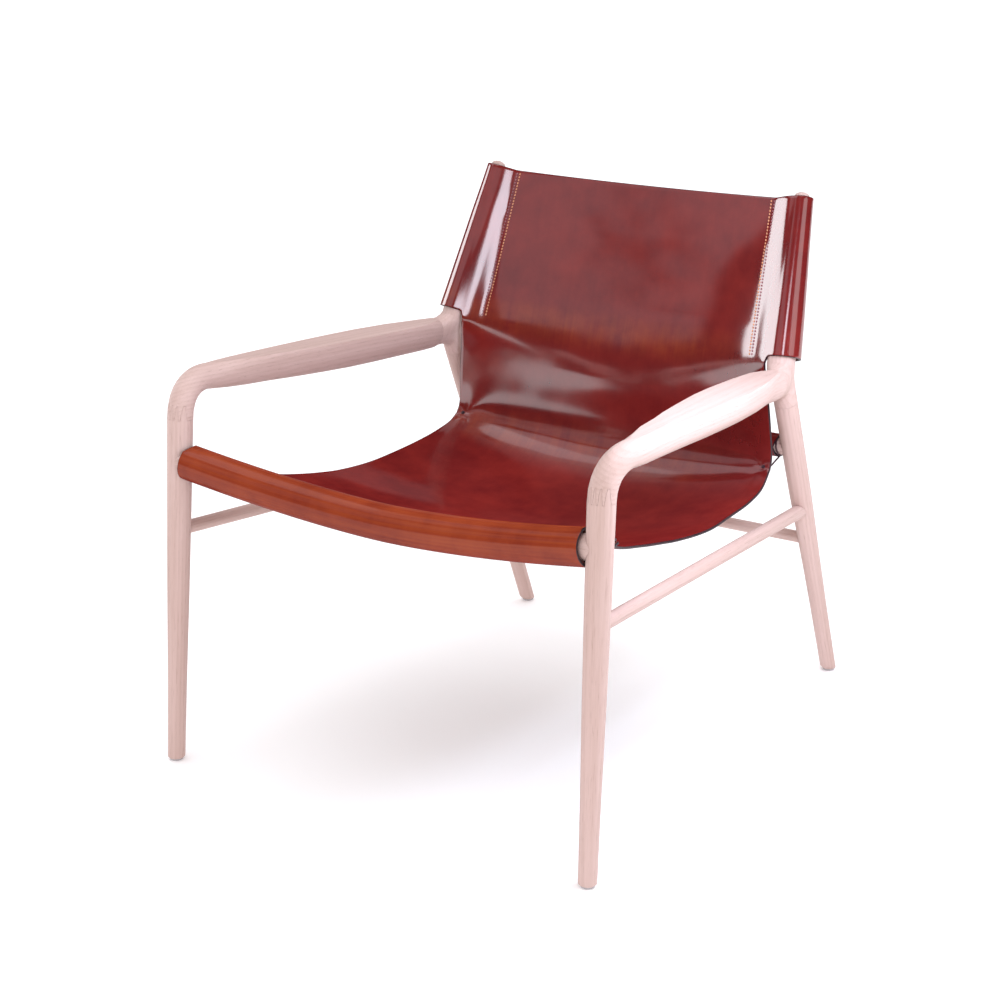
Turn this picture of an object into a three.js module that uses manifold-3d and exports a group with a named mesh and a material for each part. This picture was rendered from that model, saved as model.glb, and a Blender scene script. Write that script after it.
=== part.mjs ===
// A lounge chair: a turned and carved oak frame that carries one thick hide of leather.
// The hide is slung from a bowed front rail and from two raked back posts, and a short
// lace at each side draws its fold back to the rear rail.
// Units are millimetres, +Z is up, the sitter faces -Y, and left is -X, as the chair is
// seen from the front.

import * as THREE from "three";
import { mergeVertices } from "three/addons/utils/BufferGeometryUtils.js";
import Module from "manifold-3d";

const wasm = await Module();
wasm.setup();

// Places of the frame: half is the distance from the middle, back is behind the front
// feet, up is above the floor. The right side is written and the left one mirrors it.
const frontFoot = { half: 335.6, back: 0, up: 0 };
const rearFoot = { half: 276, back: 805, up: 0 };

// Steps from one place to the next: up the front leg, up the rear leg, up the post, and
// from the joints of the legs to the two ends of the arm's flat top.
const frontLegStep = { half: -7.2, back: 32.1, up: 484.7 };
const rearLegStep = { half: 5.5, back: -215, up: 510 };
const postStep = { half: -27.5, back: 97.5, up: 240.5 };
const armFrontStep = { half: 2.6, back: 62.9, up: 63.6 };
const armRearStep = { half: 5.5, back: -30, up: 16.5 };

const elbowJoint = stepFrom(frontFoot, frontLegStep);
const knuckle = stepFrom(rearFoot, rearLegStep);
const postTip = stepFrom(knuckle, postStep);
const armFront = stepFrom(elbowJoint, armFrontStep);
const armRear = stepFrom(knuckle, armRearStep);

// Heights at which the rails and stretchers meet the legs.
const frontRailUp = 430;
const sideStretcherFrontUp = 332;
const sideStretcherRearUp = 292;
const rearRailUp = 396.2;
const rearStretcherUp = 241;

// Legs: radii at the foot and at the top joint.
const frontFootRadius = 12;
const frontLegRadius = 17.5;
const rearFootRadius = 11.5;
const rearLegRadius = 16.5;
const legSwellShares = [[0, 0], [0.23, 0.18], [0.49, 0.55], [0.75, 0.82], [1, 1]];
const rearSwellShares = [[0, 0], [0.25, 0.14], [0.41, 0.34], [0.69, 0.86], [1, 1]];
const footChamfer = 1.6;

// Back posts.
const postTopRadius = 10.8;
const kneeJointDrop = 40;
const postBendLength = 26;
const postBendBelow = 15.6;
const postTipDome = 6;

// Rails and stretchers.
const frontRailRadius = 17;
const frontRailDip = 36;
const frontRailBow = 20;
const frontRailCurveShare = 1.7;
const rearRailRadius = 12.8;
const sideStretcherFrontRadius = 9.2;
const sideStretcherRearRadius = 10.4;
const rearStretcherRadius = 8.6;

// Tenons, dowels and their clearance.
const frontRailTenonRadius = 10;
const rearRailTenonRadius = 8;
const stretcherTenonRadius = 6;
const tenonShoulder = 8;
const dowelRadius = 4;
const dowelHalfLength = 12;
const fit = 0.3;

// Arms: a round bar that swells to a leaf and is planed flat on top.
const armLeafHalfWidth = 29.5;
const armBelly = 41;
const armBellyPower = 2.4;
const elbowRise = 42;
const elbowReach = 24;
const elbowSwellShare = 0.08;
const elbowHollowShare = 0.05;

// The comb joint between leg and elbow: fingers across the leg, and their flanks' taper.
const combPitch = 7;
const combLength = 20;
const combTipHalf = 0.7;
const combFingers = 5;

// The collar by which the back post meets the arm.
const collarHalfWidth = 17;
const collarRise = 17.2;
const collarFall = 24.6;

// Foot glides: a disc nailed up into each leg.
const glideRadius = 9;
const glideHeight = 3;
const glideStemRadius = 1.8;
const glideStemLength = 14;

// Leather.
const hideThickness = 3.4;
const rollWall = 6.4;
const rollTail = 58;
const rollTailSlopeDegrees = 8;
const rollLeftInset = 13.2;
const rollRightInset = 18.7;
const seamTailHalf = 4;
const sleeveAboveKnuckle = 24;
const sleeveBelowTip = 7;
const seamBottomReach = 48;
const seamTopReach = 37.5;
const seamLap = 9;
const seamDrawback = 7;
const sleeveSlack = 0.9;
const railSleeveInset = 24.3;
const railSleeveSlant = 9;
const railSleeveSlantHeight = 30;

// Laces.
const laceRadius = 1.2;
const laceHoleRadius = 2.2;
const laceUnderInset = 21;
const laceOverInset = 33.3;
const laceHoleStep = { half: -22.3, back: -43.2, up: -23.6 };

const overrun = 20;
const weld = 0.0001;
const facetTolerance = 0.02;
const legSides = 24;
const armSides = 28;
const smallSides = 16;
const laceSides = 6;
const laceSteps = 48;
const railSteps = 16;
const rollSteps = 10;
const rollArcSides = 9;
const sleeveArcSides = 8;
const hideColumns = 8;
const hideSteps = 24;
const holeSides = 8;

const oak = { color: 0xe3c4b5, roughness: 0.6, metalness: 0 };
const oakEnd = { color: 0xd4ae98, roughness: 0.7, metalness: 0 };
const leather = { color: 0x74282a, roughness: 0.34, metalness: 0 };
const laceFinish = { color: 0x3f1b1f, roughness: 0.6, metalness: 0 };
const glideFinish = { color: 0xb9aeb2, roughness: 0.7, metalness: 0 };

const sides = { left: -1, right: 1 };

// Points and lines

function stepFrom(place, step) {
  return {
    half: place.half + step.half,
    back: place.back + step.back,
    up: place.up + step.up,
  };
}

function spot(place, side) {
  return new THREE.Vector3(side * place.half, place.back, place.up);
}

function between(a, b, share) {
  return a.clone().lerp(b, share);
}

// The point of the line from a to b at a given height.
function atHeight(a, b, up) {
  return between(a, b, (up - a.z) / (b.z - a.z));
}

function towards(a, b) {
  return b.clone().sub(a).normalize();
}

function along(from, direction, distance) {
  return from.clone().addScaledVector(direction, distance);
}

// Solids

function solidOf(geometry) {
  const bare = geometry.index ? geometry.toNonIndexed() : geometry.clone();
  bare.deleteAttribute("normal");
  bare.deleteAttribute("uv");
  const merged = mergeVertices(bare, weld);
  const triVerts = new Uint32Array(merged.index.array);
  const vertProperties = merged.attributes.position.array;
  if (signedVolume(vertProperties, triVerts) < 0) triVerts.reverse();
  return new wasm.Manifold(new wasm.Mesh({ numProp: 3, vertProperties, triVerts }));
}

function signedVolume(places, triVerts) {
  const corner = (i) => new THREE.Vector3().fromArray(places, 3 * triVerts[i]);
  let volume = 0;
  for (let i = 0; i < triVerts.length; i += 3) {
    volume += corner(i).dot(corner(i + 1).cross(corner(i + 2)));
  }
  return volume;
}

function meshOf(name, solid, finish) {
  const { vertProperties, triVerts, numProp } = solid.simplify(facetTolerance).getMesh();
  const geometry = new THREE.BufferGeometry();
  geometry.setAttribute("position", new THREE.BufferAttribute(vertProperties, numProp));
  geometry.setIndex(new THREE.BufferAttribute(triVerts, 1));
  geometry.computeVertexNormals();
  const mesh = new THREE.Mesh(geometry, new THREE.MeshStandardMaterial(finish));
  mesh.name = name;
  return mesh;
}

// A body turned about the line from one point to another. The profile holds
// [radius, distance from the first point] pairs.
function turned(from, to, profile, sidesRound = legSides) {
  const last = profile.length - 1;
  const outline = [[0, profile[0][1]], ...profile, [0, profile[last][1]]];
  const geometry = new THREE.LatheGeometry(
    outline.map(([radius, distance]) => new THREE.Vector2(radius, distance)),
    sidesRound,
  );
  const turn = new THREE.Quaternion().setFromUnitVectors(
    new THREE.Vector3(0, 1, 0),
    towards(from, to),
  );
  geometry.applyQuaternion(turn);
  geometry.translate(from.x, from.y, from.z);
  return solidOf(geometry);
}

function rod(from, to, radius, sidesRound = smallSides) {
  return turned(from, to, [[radius, 0], [radius, from.distanceTo(to)]], sidesRound);
}

// A closed skin through rings of equally many points, with a flat fan at each end.
function loft(rings) {
  const count = rings[0].length;
  const points = rings.flat();
  const faces = [];
  for (let ring = 0; ring + 1 < rings.length; ring++) {
    for (let i = 0; i < count; i++) {
      const [a, b] = [ring * count + i, ring * count + ((i + 1) % count)];
      faces.push(a, b, b + count, a, b + count, a + count);
    }
  }
  for (const [start, flip] of [[0, true], [(rings.length - 1) * count, false]]) {
    const middle = points.length;
    const centre = new THREE.Vector3();
    for (let i = 0; i < count; i++) centre.addScaledVector(points[start + i], 1 / count);
    points.push(centre);
    for (let i = 0; i < count; i++) {
      const [a, b] = [start + i, start + ((i + 1) % count)];
      faces.push(...(flip ? [middle, b, a] : [middle, a, b]));
    }
  }
  return solidOf(skin(points, faces));
}

// A closed skin through rings that come round to the first one again.
function loopLoft(rings) {
  const count = rings[0].length;
  const faces = [];
  for (let ring = 0; ring < rings.length; ring++) {
    const [here, there] = [ring * count, ((ring + 1) % rings.length) * count];
    for (let i = 0; i < count; i++) {
      const j = (i + 1) % count;
      faces.push(here + i, here + j, there + j, here + i, there + j, there + i);
    }
  }
  return solidOf(skin(rings.flat(), faces));
}

function skin(points, faces) {
  const geometry = new THREE.BufferGeometry().setFromPoints(points);
  geometry.setIndex(faces);
  return geometry;
}

// The ring of points at a place, in the plane of two directions.
function ring(centre, across, up, outline) {
  return outline.map(([a, b]) =>
    centre.clone().addScaledVector(across, a).addScaledVector(up, b),
  );
}

// An oval outline that rises and falls by different amounts from its widest line. A
// power of 2 is a plain oval, and more fills its lower corners.
function oval(halfWidth, rise, fall, count, power = 2) {
  return Array.from({ length: count }, (_, i) => {
    const angle = (2 * Math.PI * i) / count;
    const [across, up] = [Math.cos(angle), Math.sin(angle)];
    if (up > 0) return [halfWidth * across, rise * up];
    const full = (value) => Math.sign(value) * Math.abs(value) ** (2 / power);
    return [halfWidth * full(across), fall * full(up)];
  });
}

function circle(radius, count) {
  return oval(radius, radius, radius, count);
}

// A round bar along centres, each with its radius, level across.
function bar(centres, radii, across, count = legSides) {
  return loft(
    centres.map((centre, i) => {
      const before = centres[Math.max(i - 1, 0)];
      const after = centres[Math.min(i + 1, centres.length - 1)];
      const forward = towards(before, after);
      const up = across.clone().cross(forward).normalize();
      const level = forward.clone().cross(up);
      return ring(centre, level, up, circle(radii[i], count));
    }),
  );
}

// A block that stands on a plane, reaching the same distance every way.
function blockOn(point, lengthwise, normal, reach) {
  const across = normal.clone().cross(lengthwise).normalize();
  const geometry = new THREE.BoxGeometry(reach, reach, reach);
  geometry.translate(0, 0, reach / 2);
  geometry.applyMatrix4(new THREE.Matrix4().makeBasis(lengthwise, across, normal));
  geometry.translate(point.x, point.y, point.z);
  return solidOf(geometry);
}

// Frame lines of one side

function frameLines(side) {
  const foot = spot(frontFoot, side);
  const elbow = spot(elbowJoint, side);
  const heel = spot(rearFoot, side);
  const knee = spot(knuckle, side);
  const tip = spot(postTip, side);
  const kneeJoint = atHeight(heel, knee, knee.z - kneeJointDrop);
  const rearRail = atHeight(heel, knee, rearRailUp);
  return {
    foot, elbow, heel, knee, tip, kneeJoint,
    frontRail: atHeight(foot, elbow, frontRailUp),
    stretcherFront: atHeight(foot, elbow, sideStretcherFrontUp),
    stretcherRear: atHeight(heel, knee, sideStretcherRearUp),
    rearRail,
    laceHole: rearRail.clone().add(spot(laceHoleStep, side)),
    rearStretcher: atHeight(heel, knee, rearStretcherUp),
  };
}

// Legs

// A turned leg from the floor to its joint, without its bores.
function legBlank(foot, joint, footRadius, topRadius, shares, grow, top) {
  const down = along(foot, towards(joint, foot), overrun);
  const length = foot.distanceTo(joint);
  const profile = shares.map(([share, swell]) => [
    footRadius + (topRadius - footRadius) * swell + grow,
    overrun + share * length,
  ]);
  profile.unshift([footRadius + grow, 0]);
  profile.push([topRadius + grow, overrun + length + top]);
  return turned(down, joint, profile);
}

function frontLegBlank(lines, grow = 0, top = 0) {
  const radii = [frontFootRadius, frontLegRadius, legSwellShares];
  return legBlank(lines.foot, lines.elbow, ...radii, grow, top);
}

function rearLegBlank(lines, grow = 0, top = 0) {
  const radii = [rearFootRadius, rearLegRadius, rearSwellShares];
  return legBlank(lines.heel, lines.kneeJoint, ...radii, grow, top);
}

// The foot end is cut level above its glide and its rim is broken by a chamfer.
function trimFoot(leg, foot, radius) {
  const level = glideHeight + fit;
  const rim = radius - footChamfer;
  const height = armFront.up;
  const from = new THREE.Vector3(foot.x, foot.y, level);
  const to = new THREE.Vector3(foot.x, foot.y, level + height);
  const envelope = turned(from, to, [[rim, 0], [rim + height, height]]);
  return leg.intersect(envelope);
}

function glideBore(foot) {
  const top = new THREE.Vector3(foot.x, foot.y, glideHeight + glideStemLength + fit);
  return rod(foot, top, glideStemRadius + fit);
}

function makeGlide(foot) {
  const deck = new THREE.Vector3(foot.x, foot.y, glideHeight + glideStemLength);
  return turned(foot, deck, [
    [glideRadius - glideHeight / 4, 0],
    [glideRadius, glideHeight / 4],
    [glideRadius, glideHeight],
    [glideStemRadius, glideHeight],
    [glideStemRadius, glideHeight + glideStemLength],
  ], smallSides);
}

// A mortise for a tenon that ends on the leg's axis.
function mortise(centre, direction, radius) {
  const start = along(centre, direction, -fit);
  return rod(start, along(centre, direction, frontLegRadius + overrun), radius + fit);
}

function dowel(joint, direction, grow = 0) {
  const reach = dowelHalfLength + grow;
  return rod(along(joint, direction, -reach), along(joint, direction, reach), dowelRadius + grow);
}

function makeFrontLeg(lines, side) {
  const rail = frontRailEnd(lines);
  const inward = towards(lines.stretcherFront, lines.stretcherRear);
  return trimFoot(frontLegBlank(lines, 0, fit), lines.foot, frontFootRadius)
    .add(armBlank(lines, side).intersect(combTeeth(lines, 0)))
    .subtract(mortise(lines.frontRail, rail, frontRailTenonRadius))
    .subtract(mortise(lines.stretcherFront, inward, stretcherTenonRadius))
    .subtract(glideBore(lines.foot));
}

function makeRearLeg(lines, side) {
  const inward = new THREE.Vector3(-side, 0, 0);
  const forward = towards(lines.stretcherRear, lines.stretcherFront);
  return trimFoot(rearLegBlank(lines), lines.heel, rearFootRadius)
    .subtract(mortise(lines.rearRail, inward, rearRailTenonRadius))
    .subtract(mortise(lines.rearStretcher, inward, stretcherTenonRadius))
    .subtract(mortise(lines.stretcherRear, forward, stretcherTenonRadius))
    .subtract(dowel(lines.kneeJoint, towards(lines.heel, lines.knee), fit))
    .subtract(glideBore(lines.heel));
}

// Back posts

// The centres and radii of a post, from its joint round the knuckle to the tip.
function postCourse(lines, grow) {
  const below = along(lines.knee, towards(lines.knee, lines.kneeJoint), postBendBelow);
  const above = along(lines.knee, towards(lines.knee, lines.tip), postBendLength);
  const bend = new THREE.QuadraticBezierCurve3(below, lines.knee, above).getPoints(6);
  const neck = along(lines.tip, towards(lines.tip, lines.knee), postTipDome);
  const straight = [0.25, 0.5, 0.75].map((share) => between(above, neck, share));
  const centres = [lines.kneeJoint, ...bend, ...straight, neck];
  const whole = above.distanceTo(neck);
  const radii = centres.map((centre) => {
    const share = centre.z <= above.z ? 0 : above.distanceTo(centre) / whole;
    return rearLegRadius + (postTopRadius - rearLegRadius) * share + grow;
  });
  for (const [rise, width] of [[0.55, 0.84], [0.86, 0.5], [1, 0.16]]) {
    centres.push(between(neck, lines.tip, rise));
    radii.push((postTopRadius + grow) * width);
  }
  return { centres, radii };
}

function postBlank(lines, grow = 0) {
  const { centres, radii } = postCourse(lines, grow);
  return bar(centres, radii, new THREE.Vector3(1, 0, 0));
}

const collarShares = [
  // share of the way to the post's axis, and shares of the collar's rise and fall
  [0, 1, 1],
  [0.35, 1.06, 1],
  [0.62, 1.24, 1.06],
  [0.85, 1.58, 1.22],
  [1.1, 2, 1.45],
];

// The collar that branches forward from the post to the arm's end.
function postCollar(lines, side) {
  const { centre, direction } = armRearJoint(lines, side);
  const start = along(centre, direction, fit);
  const across = new THREE.Vector3(direction.y, -direction.x, 0).normalize();
  const up = across.clone().cross(direction);
  return loft(
    collarShares.map(([share, rise, fall]) =>
      ring(between(start, lines.knee, share), across, up,
        oval(collarHalfWidth - fit * share, collarRise * rise, collarFall * fall, legSides)),
    ),
  );
}

function makePost(lines, side) {
  const axis = towards(lines.heel, lines.knee);
  const seat = along(lines.kneeJoint, axis, fit);
  const lengthwise = new THREE.Vector3(1, 0, 0);
  const under = blockOn(seat, lengthwise, axis.clone().negate(), rearLegRadius * 4);
  const { centre, direction } = armRearJoint(lines, side);
  return postBlank(lines)
    .add(postCollar(lines, side))
    .subtract(under)
    .subtract(dowel(lines.kneeJoint, axis, fit))
    .subtract(dowel(centre, direction, fit));
}

// Arms

const leafShares = [
  // Share of the way back; shares of the leaf's half width for how far it keeps inside the
  // straight line and how wide it is; share of the leg's radius from the widest line up to
  // the flat; share of the belly; and share of the belly's fullness
  [0, 0, 0.593, 1, 0.45, 0],
  [0.065, 0.045, 0.62, 0.863, 0.56, 0.5],
  [0.129, 0.1, 0.66, 0.686, 0.66, 1],
  [0.23, 0.098, 0.695, 0.48, 0.78, 1],
  [0.316, 0.139, 0.797, 0.354, 0.866, 1],
  [0.441, 0.156, 0.915, 0.269, 0.94, 1],
  [0.568, 0.17, 1, 0.183, 1, 1],
  [0.673, 0.149, 1, 0.183, 1, 1],
  [0.806, 0.153, 0.915, 0.331, 0.915, 1],
  [0.918, 0.2, 0.73, 0.52, 0.82, 0.8],
  [0.974, 0.1, 0.63, 0.82, 0.7, 0.3],
  [1, 0, 0.576, 0.983, 0.6, 0],
];

const elbowShares = [0, 0.12, 0.24, 0.34, 0.43, 0.51, 0.59, 0.67, 0.76, 0.87];

// The plane of the flat top: its line from front to rear and its normal.
function armPlane(side) {
  const front = spot(armFront, side);
  const rear = spot(armRear, side);
  const lengthwise = towards(front, rear);
  const outward = new THREE.Vector3(side, 0, 0);
  const level = outward.addScaledVector(lengthwise, -outward.dot(lengthwise)).normalize();
  const normal = level.clone().cross(lengthwise).multiplyScalar(side).normalize();
  return { front, rear, lengthwise, normal };
}

// The stations of an arm: up from the leg, round the elbow and back to the post.
function armStations(lines, side) {
  const rise = towards(lines.foot, lines.elbow);
  const { front, rear, lengthwise } = armPlane(side);
  const start = front.clone().setZ(front.z - frontLegRadius);
  const elbow = new THREE.CubicBezierCurve3(
    lines.elbow,
    along(lines.elbow, rise, elbowRise),
    along(start, lengthwise, -elbowReach),
    start,
  );
  const stations = elbowShares.map((share) => {
    const bulge = Math.sin(Math.PI * share);
    return {
      centre: elbow.getPoint(share),
      forward: elbow.getTangent(share),
      halfWidth: frontLegRadius,
      rise: frontLegRadius * (1 + elbowSwellShare * bulge),
      fall: frontLegRadius * (1 - elbowHollowShare * bulge),
      power: 2,
    };
  });
  for (const [share, inside, width, depth, belly, full] of leafShares) {
    const centre = between(front, rear, share);
    centre.x -= side * armLeafHalfWidth * inside;
    stations.push({
      centre: centre.setZ(centre.z - frontLegRadius * depth),
      forward: lengthwise,
      halfWidth: armLeafHalfWidth * width,
      rise: frontLegRadius,
      fall: armBelly * belly,
      power: 2 + (armBellyPower - 2) * full,
    });
  }
  return stations;
}

// An arm from the leg's joint to the post's collar, planed on top and not yet jointed.
function armBlank(lines, side) {
  const { front, rear, lengthwise, normal } = armPlane(side);
  const across = new THREE.Vector3(lengthwise.y, -lengthwise.x, 0).normalize();
  const rings = armStations(lines, side).map((station) => {
    const { centre, forward, halfWidth, rise, fall, power } = station;
    const up = across.clone().cross(forward).normalize();
    const level = forward.clone().cross(up);
    return ring(centre, level, up, oval(halfWidth, rise, fall, armSides, power));
  });
  const above = blockOn(between(front, rear, 0.5), lengthwise, normal, front.distanceTo(rear) * 2);
  return loft(rings).subtract(above);
}

// The teeth of the comb joint, grown on every side for the slots that take them.
function combTeeth(lines, grow) {
  const axis = towards(lines.foot, lines.elbow);
  const half = (combPitch * combFingers) / 2;
  const tip = combTipHalf + grow;
  const base = combPitch / 2 - combTipHalf - fit + grow;
  const top = combLength + grow;
  const deep = -combLength;
  const level = fit + grow;
  const points = [[half + overrun, deep], [half + overrun, level]];
  for (let tooth = combFingers; tooth > 0; tooth--) {
    const centre = (tooth - 1) * combPitch - half + combPitch / 2;
    points.push([centre + base, level], [centre + tip, top], [centre - tip, top]);
    points.push([centre - base, level]);
  }
  points.push([-half - overrun, level], [-half - overrun, deep]);
  const outline = new THREE.Shape(points.map(([a, b]) => new THREE.Vector2(a, b)));
  const depth = frontLegRadius * 4;
  const geometry = new THREE.ExtrudeGeometry(outline, { depth, bevelEnabled: false });
  geometry.translate(0, 0, -depth / 2);
  const back = new THREE.Vector3(1, 0, 0).cross(axis).normalize();
  const across = axis.clone().cross(back);
  geometry.applyMatrix4(new THREE.Matrix4().makeBasis(across, axis, back));
  geometry.translate(lines.elbow.x, lines.elbow.y, lines.elbow.z);
  return solidOf(geometry);
}

function makeArm(lines, side) {
  const { centre, direction } = armRearJoint(lines, side);
  return armBlank(lines, side)
    .subtract(combTeeth(lines, fit))
    .subtract(dowel(centre, direction, fit));
}

// The middle of the joint between arm and collar, and the arm's direction there.
function armRearJoint(lines, side) {
  const { centre, forward } = armStations(lines, side).at(-1);
  return { centre, direction: forward };
}

// Rails and stretchers

// A turned bar between two legs, coped to them, with a tenon into each.
function makeStretcher(from, to, radii, tenonRadius, hosts) {
  const length = from.distanceTo(to);
  const direction = towards(from, to);
  const [start, end] = radii;
  let body = turned(from, to, [[start, 0], [end, length]], smallSides);
  for (const host of hosts) body = body.subtract(host);
  const reach = frontLegRadius + tenonShoulder;
  return body
    .add(rod(from, along(from, direction, reach), tenonRadius))
    .add(rod(to, along(to, direction, -reach), tenonRadius));
}

// The front rail's centre line, bowed down and back between the legs.
function frontRailPoint(lines, share) {
  const end = lines.right.frontRail;
  const drop = 1 - Math.abs(share) ** frontRailCurveShare;
  return new THREE.Vector3(
    share * end.x, end.y + frontRailBow * drop, end.z - frontRailDip * drop,
  );
}

const endSlopeShare = 0.94;

// The direction in which the front rail leaves one leg.
function frontRailEnd(lines) {
  const side = Math.sign(lines.frontRail.x);
  const both = { right: frameLines(1) };
  const inner = frontRailPoint(both, side * endSlopeShare);
  return towards(lines.frontRail, inner);
}

function railCourse(lines, count, reach = 1) {
  return Array.from({ length: count + 1 }, (_, i) =>
    frontRailPoint(lines, reach * ((2 * i) / count - 1)),
  );
}

function makeFrontRail(lines) {
  const centres = railCourse(lines, railSteps);
  const upright = new THREE.Vector3(0, 0, 1);
  const radii = centres.map(() => frontRailRadius);
  let rail = bar(centres, radii, upright);
  for (const own of [lines.left, lines.right]) {
    const tenon = along(own.frontRail, frontRailEnd(own), frontLegRadius + tenonShoulder);
    rail = rail
      .subtract(frontLegBlank(own, fit, overrun))
      .add(rod(own.frontRail, tenon, frontRailTenonRadius));
  }
  return rail;
}

function makeRearRail(lines) {
  const hosts = [rearLegBlank(lines.left, fit, overrun), rearLegBlank(lines.right, fit, overrun)];
  const radii = [rearRailRadius, rearRailRadius];
  return makeStretcher(
    lines.left.rearRail, lines.right.rearRail, radii, rearRailTenonRadius, hosts,
  );
}

// The leather tube round the rear rail, its ends cut on a slant.
function makeRailSleeve(lines) {
  const { x, y, z } = lines.right.rearRail;
  const end = (half) => new THREE.Vector3(half, y, z);
  const inner = rearRailRadius + fit;
  const sleeveHalf = x - railSleeveInset;
  const reach = sleeveHalf + overrun;
  let tube = rod(end(-reach), end(reach), inner + hideThickness, legSides)
    .subtract(rod(end(-reach * 2), end(reach * 2), inner, legSides));
  for (const side of Object.values(sides)) {
    const slant = new THREE.Vector3(side * railSleeveSlant, 0, railSleeveSlantHeight).normalize();
    const normal = new THREE.Vector3(side * slant.z, 0, -Math.abs(slant.x));
    tube = tube.subtract(blockOn(end(side * sleeveHalf), slant, normal, reach));
  }
  return tube;
}

// The hide

// A drop-shaped outline: an arc about the origin drawn out to a blunt tail.
function drop(radius, tail, tailHalf, count) {
  const lean = Math.atan2(tailHalf, tail);
  const start = Math.acos(radius / Math.hypot(tail, tailHalf)) + lean;
  const points = [[tail, tailHalf]];
  for (let i = 0; i <= count; i++) {
    const angle = start + ((2 * Math.PI - 2 * start) * i) / count;
    points.push([radius * Math.cos(angle), radius * Math.sin(angle)]);
  }
  points.push([tail, -tailHalf]);
  return points;
}

// The signed half widths at which the front roll ends.
function rollEnds(lines) {
  const end = lines.right.frontRail.x;
  return { left: rollLeftInset - end, right: end - rollRightInset };
}

// The frame of the front roll at a share of the rail: the tail points backwards and a
// little down, square to the rail.
function rollPlace(lines, share) {
  const slope = THREE.MathUtils.degToRad(rollTailSlopeDegrees);
  const centre = frontRailPoint(lines, share);
  const near = 1 - endSlopeShare;
  const forward = towards(
    frontRailPoint(lines, share - near), frontRailPoint(lines, share + near),
  );
  const back = new THREE.Vector3(0, Math.cos(slope), -Math.sin(slope));
  back.addScaledVector(forward, -back.dot(forward)).normalize();
  return { centre, back, up: forward.clone().cross(back) };
}

// The roll of hide round the front rail, with the tail that joins the seat.
function frontRoll(lines) {
  const hole = frontRailRadius + 3 * fit;
  const { left, right } = rollEnds(lines);
  const shares = Array.from({ length: rollSteps + 1 }, (_, i) =>
    (left + ((right - left) * i) / rollSteps) / lines.right.frontRail.x,
  );
  const course = (list, outline) =>
    loft(list.map((share) => {
      const { centre, back, up } = rollPlace(lines, share);
      return ring(centre, back, up, outline);
    }));
  const outer = course(shares, drop(hole + rollWall, rollTail, hideThickness, rollArcSides));
  const lap = rollTail - seamLap;
  const inner = course([-1.02, ...shares, 1.02], drop(hole, lap, weld, rollArcSides));
  return outer
    .subtract(inner)
    .subtract(frontLegBlank(lines.left, fit, overrun))
    .subtract(frontLegBlank(lines.right, fit, overrun));
}

function seamReach(share) {
  return seamBottomReach + (seamTopReach - seamBottomReach) * share;
}

// The turn of a sleeve about its post that draws the foot of the seam backwards.
function drawbackAngle(share) {
  return Math.atan2(seamDrawback * (1 - share), seamReach(share));
}

// The frame of a post sleeve at a share of its height: its centre on the post's axis,
// the direction of the seam, and the direction out of the sleeve's front.
function sleevePlace(lines, side, share) {
  const axis = towards(lines.knee, lines.tip);
  const bottom = lines.knee.z + sleeveAboveKnuckle;
  const up = bottom + (lines.tip.z - sleeveBelowTip - bottom) * share;
  const centre = atHeight(lines.knee, lines.tip, up);
  const inward = new THREE.Vector3(-side, 0, 0);
  inward.addScaledVector(axis, -inward.dot(axis)).normalize();
  const front = inward.clone().cross(axis).multiplyScalar(-side).normalize();
  inward.applyAxisAngle(axis, -side * drawbackAngle(share));
  front.applyAxisAngle(axis, -side * drawbackAngle(share));
  return { centre, inward, front };
}

function postRadius(lines, centre) {
  const above = along(lines.knee, towards(lines.knee, lines.tip), postBendLength);
  const neck = along(lines.tip, towards(lines.tip, lines.knee), postTipDome);
  const share = (centre.z - above.z) / (neck.z - above.z);
  return rearLegRadius + (postTopRadius - rearLegRadius) * share;
}

function postSleeve(lines, side) {
  const cut = (share, grow, tail, tailHalf) => {
    const { centre, inward, front } = sleevePlace(lines, side, share);
    const radius = postRadius(lines, centre) + sleeveSlack + grow;
    const outline = drop(radius, seamReach(share) + tail, tailHalf, sleeveArcSides);
    return ring(centre, inward, front, outline);
  };
  const outer = [0, 1].map((share) => cut(share, hideThickness, seamLap / 2, seamTailHalf));
  const inner = [-0.05, 1.05].map((share) => cut(share, 0, -seamLap / 2, weld));
  return loft(outer).subtract(loft(inner));
}

// A point in the middle of a sleeve's front layer, some way in from the post's axis.
function frontLayer(lines, side, share, reach) {
  const { centre, inward, front } = sleevePlace(lines, side, share);
  const radius = postRadius(lines, centre) + sleeveSlack + hideThickness / 2;
  const tail = seamReach(share) + seamLap / 2;
  const outline = drop(radius, tail, seamTailHalf / 2, sleeveArcSides);
  const [seam, touch] = outline;
  const part = (reach - touch[0]) / (seam[0] - touch[0]);
  const depth = touch[1] + (seam[1] - touch[1]) * part;
  return along(along(centre, inward, reach), front, depth);
}

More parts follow.
